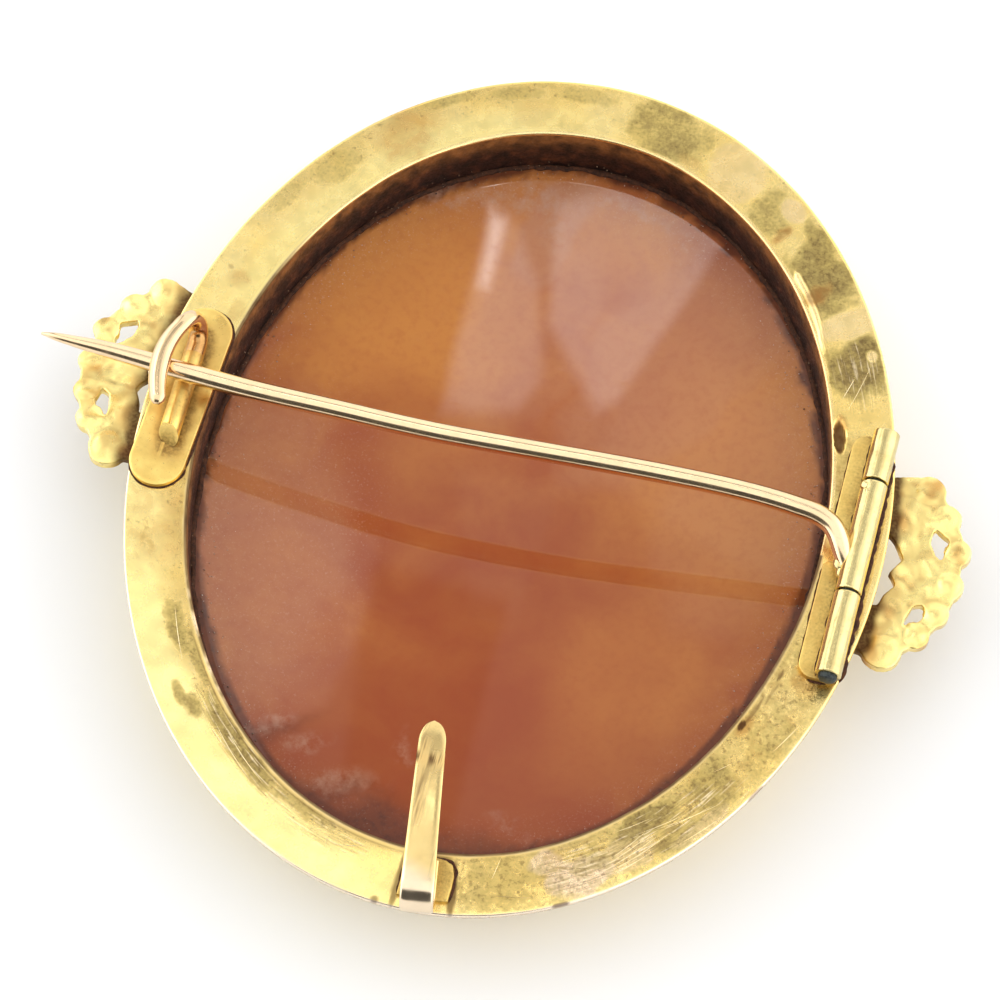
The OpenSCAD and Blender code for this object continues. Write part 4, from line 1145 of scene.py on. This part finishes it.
def build_seams(material):
    """Old dirt along the edges of the soldered plates, beside the knuckles and in the shell's corner; beside
    the knuckles it is also painted shade.
    """
    left, right_of, left_of = HINGE_LOW.x, HINGE_X + 0.72, HINGE_X - 0.70
    near, far = HINGE_LOW.y, HINGE_HIGH.y
    catch = catch_outline()
    catch = np.concatenate([catch, catch[:1]])
    foot = [(0.12, -26.2), (0.12, -23.9), (0.5, -23.62), (2.7, -23.62), (3.06, -24.1), (3.08, -26.0)]
    # Each run's corners, height, half width and half height
    runs = [
        (catch, 0.02, 0.11, 0.05),
        (catch + (0.06, 0.05), 0.02, 0.09, 0.04),
        ([(left, near + 0.9), (left, -0.8)], 0.02, 0.12, 0.06),
        ([(left, 2.0), (left, far - 0.9)], 0.02, 0.10, 0.05),
        ([(left + 0.1, near + 0.5), (left + 0.9, near), (HINGE_X, near - 0.02)], 0.02, 0.11, 0.06),
        # Beside the knuckles: dirt and painted shade
        ([(left_of, near + 0.15), (left_of, -0.7)], PLATE_T, 0.22, 0.16),
        ([(left_of + 0.02, 1.9), (left_of + 0.02, far - 0.3)], PLATE_T, 0.20, 0.16),
        ([(right_of, near + 0.1), (right_of, far - 1.2)], PLATE_T, 0.30, 0.18),
        (foot, 0.02, 0.15, 0.06)
    ]
    parts = []
    for n, (corners, z, half_wide, half_high) in enumerate(runs):
        corners = np.array(corners)
        steps = np.concatenate([[0], np.cumsum(np.linalg.norm(np.diff(corners, axis=0), axis=1))])
        share = np.linspace(0, steps[-1], max(12, int(steps[-1] / 0.12)))
        path = stack(*(np.interp(share, steps, column) for column in corners.T), z)
        thinnest = 0.65 if z > 0.1 else 0.12
        uneven = 0.75 + 0.4 * rough(path, 1.3, 120 + n) + 0.3 * rough(path, 0.4, 130 + n)
        path[:, 0] += 0.4 * half_wide * rough(path, 0.5, 140 + n)
        uneven = uneven.clip(thinnest, 1.4) * np.minimum(1, np.minimum(share, share[-1] - share) / 0.4 + 0.1)
        parts.append(sweep(path, half_high * uneven, half_wide * uneven, sides=10))

    # A closed bead round the oval, in the corner between the frame and the shell
    t = turns(900)
    turn = turns(10)
    middle, height = RING_W + 0.08, SHELL_BACK_Z + 0.02
    bead = np.concatenate([on_oval(t, middle + 0.20 * math.cos(a), height + 0.12 * math.sin(a)) for a in turn])
    bead[:, :2] *= 1 - ripples(bead, 150, (0.006, 1.1), (0.004, 0.4))[:, None]
    bead[:, 2] += 0.07 * rough(bead, 0.9, 152) - 0.05
    parts.append((bead, grid_faces(len(turn), len(t), wrap_rows=True)[:, ::-1]))
    add_piece("seam_dirt_and_shade", *merge_meshes(*parts), material, "brooch", sharp_deg=80)


def build_crumbs(name, material, bands, crumb_mm, per_square_mm, seed):
    """Grains scattered over bands in the shell's hollow, by rows of (inset, height) off its edge."""
    t = turns(240)
    rings = [on_oval(t, RING_W + inset, SHELL_BACK_Z + z) for inset, z in bands]
    obj = new_object(name, np.concatenate(rings), grid_faces(len(rings), len(t)))
    tree = bpy.data.node_groups.new("scatter_crumbs", "GeometryNodeTree")
    new_socket = tree.interface.new_socket
    new_socket("Geometry", in_out="INPUT", socket_type="NodeSocketGeometry")
    size = new_socket("Crumb size", in_out="INPUT", socket_type="NodeSocketFloat")
    density = new_socket("Crumbs per square metre", in_out="INPUT", socket_type="NodeSocketFloat")
    new_socket("Geometry", in_out="OUTPUT", socket_type="NodeSocketGeometry")
    start = add_node(tree, "NodeGroupInput").outputs
    spread = add_node(tree, "GeometryNodeDistributePointsOnFaces", {
        "Mesh": start["Geometry"], "Density": start["Crumbs per square metre"], "Seed": seed})
    grain = add_node(tree, "GeometryNodeMeshIcoSphere", {"Radius": start["Crumb size"], "Subdivisions": 1})
    scale = add_node(tree, "FunctionNodeRandomValue", {
        "Min": (0.25, 0.25, 0.2), "Max": (1.0, 0.9, 0.6), "Seed": 2}, data_type="FLOAT_VECTOR")
    turn = add_node(tree, "FunctionNodeRandomValue", {"Max": (6.28, 6.28, 6.28), "Seed": 3},
                    data_type="FLOAT_VECTOR")
    copies = add_node(tree, "GeometryNodeInstanceOnPoints", {
        "Points": spread, "Instance": grain, "Scale": scale, "Rotation": turn})
    realized = add_node(tree, "GeometryNodeRealizeInstances", {"Geometry": copies})
    painted = add_node(tree, "GeometryNodeSetMaterial", {"Geometry": realized, "Material": material})
    add_node(tree, "NodeGroupOutput", {"Geometry": painted})
    modifier = obj.modifiers.new("crumbs", "NODES")
    modifier.node_group = tree
    modifier[size.identifier] = crumb_mm * MM
    modifier[density.identifier] = per_square_mm / MM ** 2
    freeze(obj)
    dress(obj, material, "brooch", sharp_deg=80)


# Scene

ELEVATION_DEG = 65.9
AZIMUTH_DEG = 14.5
CAMERA_MM = 263.0
TARGET = (-0.304, -1.339, 0.0)
LENS = 162.5


def add_camera():
    e, a = math.radians(ELEVATION_DEG), math.radians(AZIMUTH_DEG)
    back = Vector((math.sin(a) * math.cos(e), -math.cos(a) * math.cos(e), math.sin(e)))
    camera = link_object("camera", bpy.data.cameras.new("camera"))
    camera.data.lens = LENS
    camera.data.sensor_width = 36.0
    camera.data.clip_start = 0.01
    camera.location = Vector(place(TARGET)) + back * CAMERA_MM * MM
    camera.rotation_euler = back.to_track_quat("Z", "Y").to_euler()
    bpy.context.scene.camera = camera


FLOOR_WHITE = (0.808, 0.818, 0.842)
TENT_WHITE = (1.0, 0.995, 0.985)
ROOM_LIGHT = 1.42
WALL_LIGHT = 0.7
# Parts of the light tent that the back mirrors: how much brighter or darker each is than the
# room, and its corners, anticlockwise seen from above, as slopes from the vertical along X and Y
TENT_PARTS = [
    (-0.77, [(0.24, 0.3), (0.2, 0.62), (-0.1, 0.72), (-0.42, 0.66), (-0.46, 0.34), (-0.3, 0.16),
             (0.1, 0.17)]),
    (1.9, [(-0.01, 0.245), (-0.02, 0.37), (-0.086, 0.356), (-0.095, 0.34), (-0.068, 0.285), (-0.036, 0.25)]),
    (7, [(-0.011, 0.248), (-0.019, 0.29), (-0.027, 0.292), (-0.024, 0.25)]),
    (2.7, [(-0.07, 0.235), (-0.086, 0.306), (-0.15, 0.355), (-0.166, 0.348), (-0.218, 0.246),
           (-0.145, 0.205)]),
    (0.35, [(-0.196, 0.262), (-0.164, 0.372), (-0.18, 0.4), (-0.42, 0.48), (-0.36, 0.33), (-0.25, 0.244)]),
    (0.2, [(-0.047, 0.404), (-0.096, 0.486), (-0.143, 0.489), (-0.14, 0.399)]),
    (0.62, [(0.165, 0.45), (0.14, 0.536), (0.057, 0.62), (-0.006, 0.575), (-0.014, 0.5), (0, 0.45)]),
    (-0.32, [(0.15, 0.4), (-0.022, 0.378), (-0.009, 0.249), (0.037, 0.243), (0.104, 0.278)]),
    (0.9, [(-0.47, 0), (-0.47, 0.85), (-1.3, 0.85), (-1.3, 0)]),
    (-0.4, [(0, 0.475), (-0.04, 0.62), (-0.15, 0.655), (-0.128, 0.478)])
]


def add_world():
    """A white light tent with panels and darker parts, open and dark towards the camera."""
    world = bpy.data.worlds.new("light_tent")
    bpy.context.scene.world = world
    world.cycles.sampling_method = "NONE"
    n = Nodes(world, "Generated")
    tree = n.tree
    x, y, z = (n.add("ShaderNodeSeparateXYZ", {"Vector": n.place}, axis) for axis in "XYZ")
    height = z.math("MAXIMUM", 0.05)
    slopes = n.add("ShaderNodeCombineXYZ", {"X": x / height, "Y": y / height, "Z": 1.0})

    def tent_part(corners, soft=0.008):
        """1 inside a part's corners and 0 outside, with soft edges."""
        nearest = z - 0.1
        for (x0, y0), (x1, y1) in zip(corners, corners[1:] + corners[:1]):
            normal = np.array([y0 - y1, x1 - x0]) / math.hypot(x1 - x0, y1 - y0)
            line = (*normal, -normal @ (x0, y0))
            side = n.add("ShaderNodeVectorMath", {0: slopes, 1: line}, "Value", operation="DOT_PRODUCT")
            nearest = nearest.math("MINIMUM", side)
        return n.between(nearest, -soft, soft)

    walls = (n.between(x, -0.50, -0.75) + n.between(x, 0.40, 0.70)) * WALL_LIGHT
    mirrored = ROOM_LIGHT
    for change, corners in TENT_PARTS:
        mirrored = tent_part(corners) * change + mirrored
    opening = n.between(y, -0.55, -0.64) * n.between(z, 0.0, 0.10)
    opening = opening * n.between(x, -0.60, -0.40) * n.between(x, 0.60, 0.40)
    seam = n.between(x, -0.50, -0.46) * n.between(x, -0.38, -0.42) * n.between(y, 0.15, 0.30)
    dark = (opening * 0.94).math("MAXIMUM", seam * 0.8)
    lit = dark * -1.0 + 1.0
    tents = []
    for strength in (walls + mirrored, walls + ROOM_LIGHT):
        look = {"Color": TENT_WHITE, "Strength": strength * lit}
        tents.append(add_node(tree, "ShaderNodeBackground", look))
    is_diffuse = add_node(tree, "ShaderNodeLightPath").outputs["Is Diffuse Ray"]
    choice = add_node(tree, "ShaderNodeMixShader", {0: is_diffuse, 1: tents[0], 2: tents[1]})
    add_node(tree, "ShaderNodeOutputWorld", {"Surface": choice})


def add_stage():
    half = 1.2
    mesh = bpy.data.meshes.new("floor")
    corners = [(-half, -half, 0), (half, -half, 0), (half, half, 0), (-half, half, 0)]
    mesh.from_pydata(corners, [], [(0, 1, 2, 3)])
    floor = link_object("floor", mesh)
    floor.data.materials.append(new_material("white_floor").surface(FLOOR_WHITE, 0.9))
    add_world()
    bpy.context.scene.view_settings.view_transform = "Standard"


add_camera()
add_stage()

plate_gold = fitting_gold("plate_gold", (0.92, 0.66, 0.20), 0.26, dirt=0.45)
pale_gold = fitting_gold("pale_gold", (0.76, 0.63, 0.29), 0.15, dirt=0.45)
rose_gold = fitting_gold("rose_gold", (0.90, 0.68, 0.42), 0.12, dirt=0.16, lumps=0.12, grain=(8, 1, 1))
catch_gold = fitting_gold("catch_gold", (0.82, 0.60, 0.35), 0.10, dirt=0.14, lumps=0.08)
hook_gold = fitting_gold("hook_gold", (0.80, 0.60, 0.26), 0.14, dirt=0.30, lumps=0.10, grain=(1, 16, 4),
                         broken=(0.46, 0.0))
scroll_gold = fitting_gold("scroll_gold", (0.99, 0.81, 0.31), 0.22, dirt=0.22, lumps=0.3, broken=(0.3, 0.85))
scratch_gold = fitting_gold("scratch_gold", (0.98, 0.84, 0.52), 0.22, dirt=0.0, lumps=0.1)
iron = grainy("dark_iron", (0.12, 6), (0.35, (0.012, 0.014, 0.015)), (0.7, (0.07, 0.085, 0.08)),
              ((0.3, 0.35), (0.7, 0.6)), (0.6, 0.03), metallic=0.6)
# Dark crust: dirt, and beside the knuckles also painted shade
crust = grainy("crust_dirt_and_shade", (0.22, 5, 0.65), (0.35, (0.022, 0.009, 0.006)), (0.7, (0.11, 0.042, 0.020)),
               ((0.3, 0.7), (0.7, 0.95)), (0.9, 0.05), **{"Specular IOR Level": 0.2})
crumbs = grainy("dry_dirt", (0.6, 2), (0.3, (0.05, 0.022, 0.012)), (0.75, (0.36, 0.24, 0.15)), 0.85)
flakes = grainy("shell_dust", (0.1, 3), (0.35, (0.30, 0.17, 0.11)), (0.7, (0.66, 0.50, 0.40)), 0.8)

build_frame(ring_gold(), wall_gold())
build_scratches(scratch_gold)
build_shell(shell_material())
build_pin(rose_gold, pale_gold)
build_hinge(plate_gold, pale_gold, iron)
build_catch(plate_gold, catch_gold)
build_hook(plate_gold, hook_gold)
build_scroll("scroll_left", scroll_gold, 101, 1.5)
build_scroll("scroll_right", scroll_gold, 111, 0.85)
build_seams(crust)
build_crumbs("dirt_crumbs", crumbs, [(0.03, 0.7), (0.07, 0.08), (0.5, -0.02), (1.0, -0.08)], 0.075, 1.6, 4)
build_crumbs("shell_flakes", flakes, [(0.35, -0.02), (0.9, -0.10), (2.6, -0.42)], 0.07, 1.1, 8)
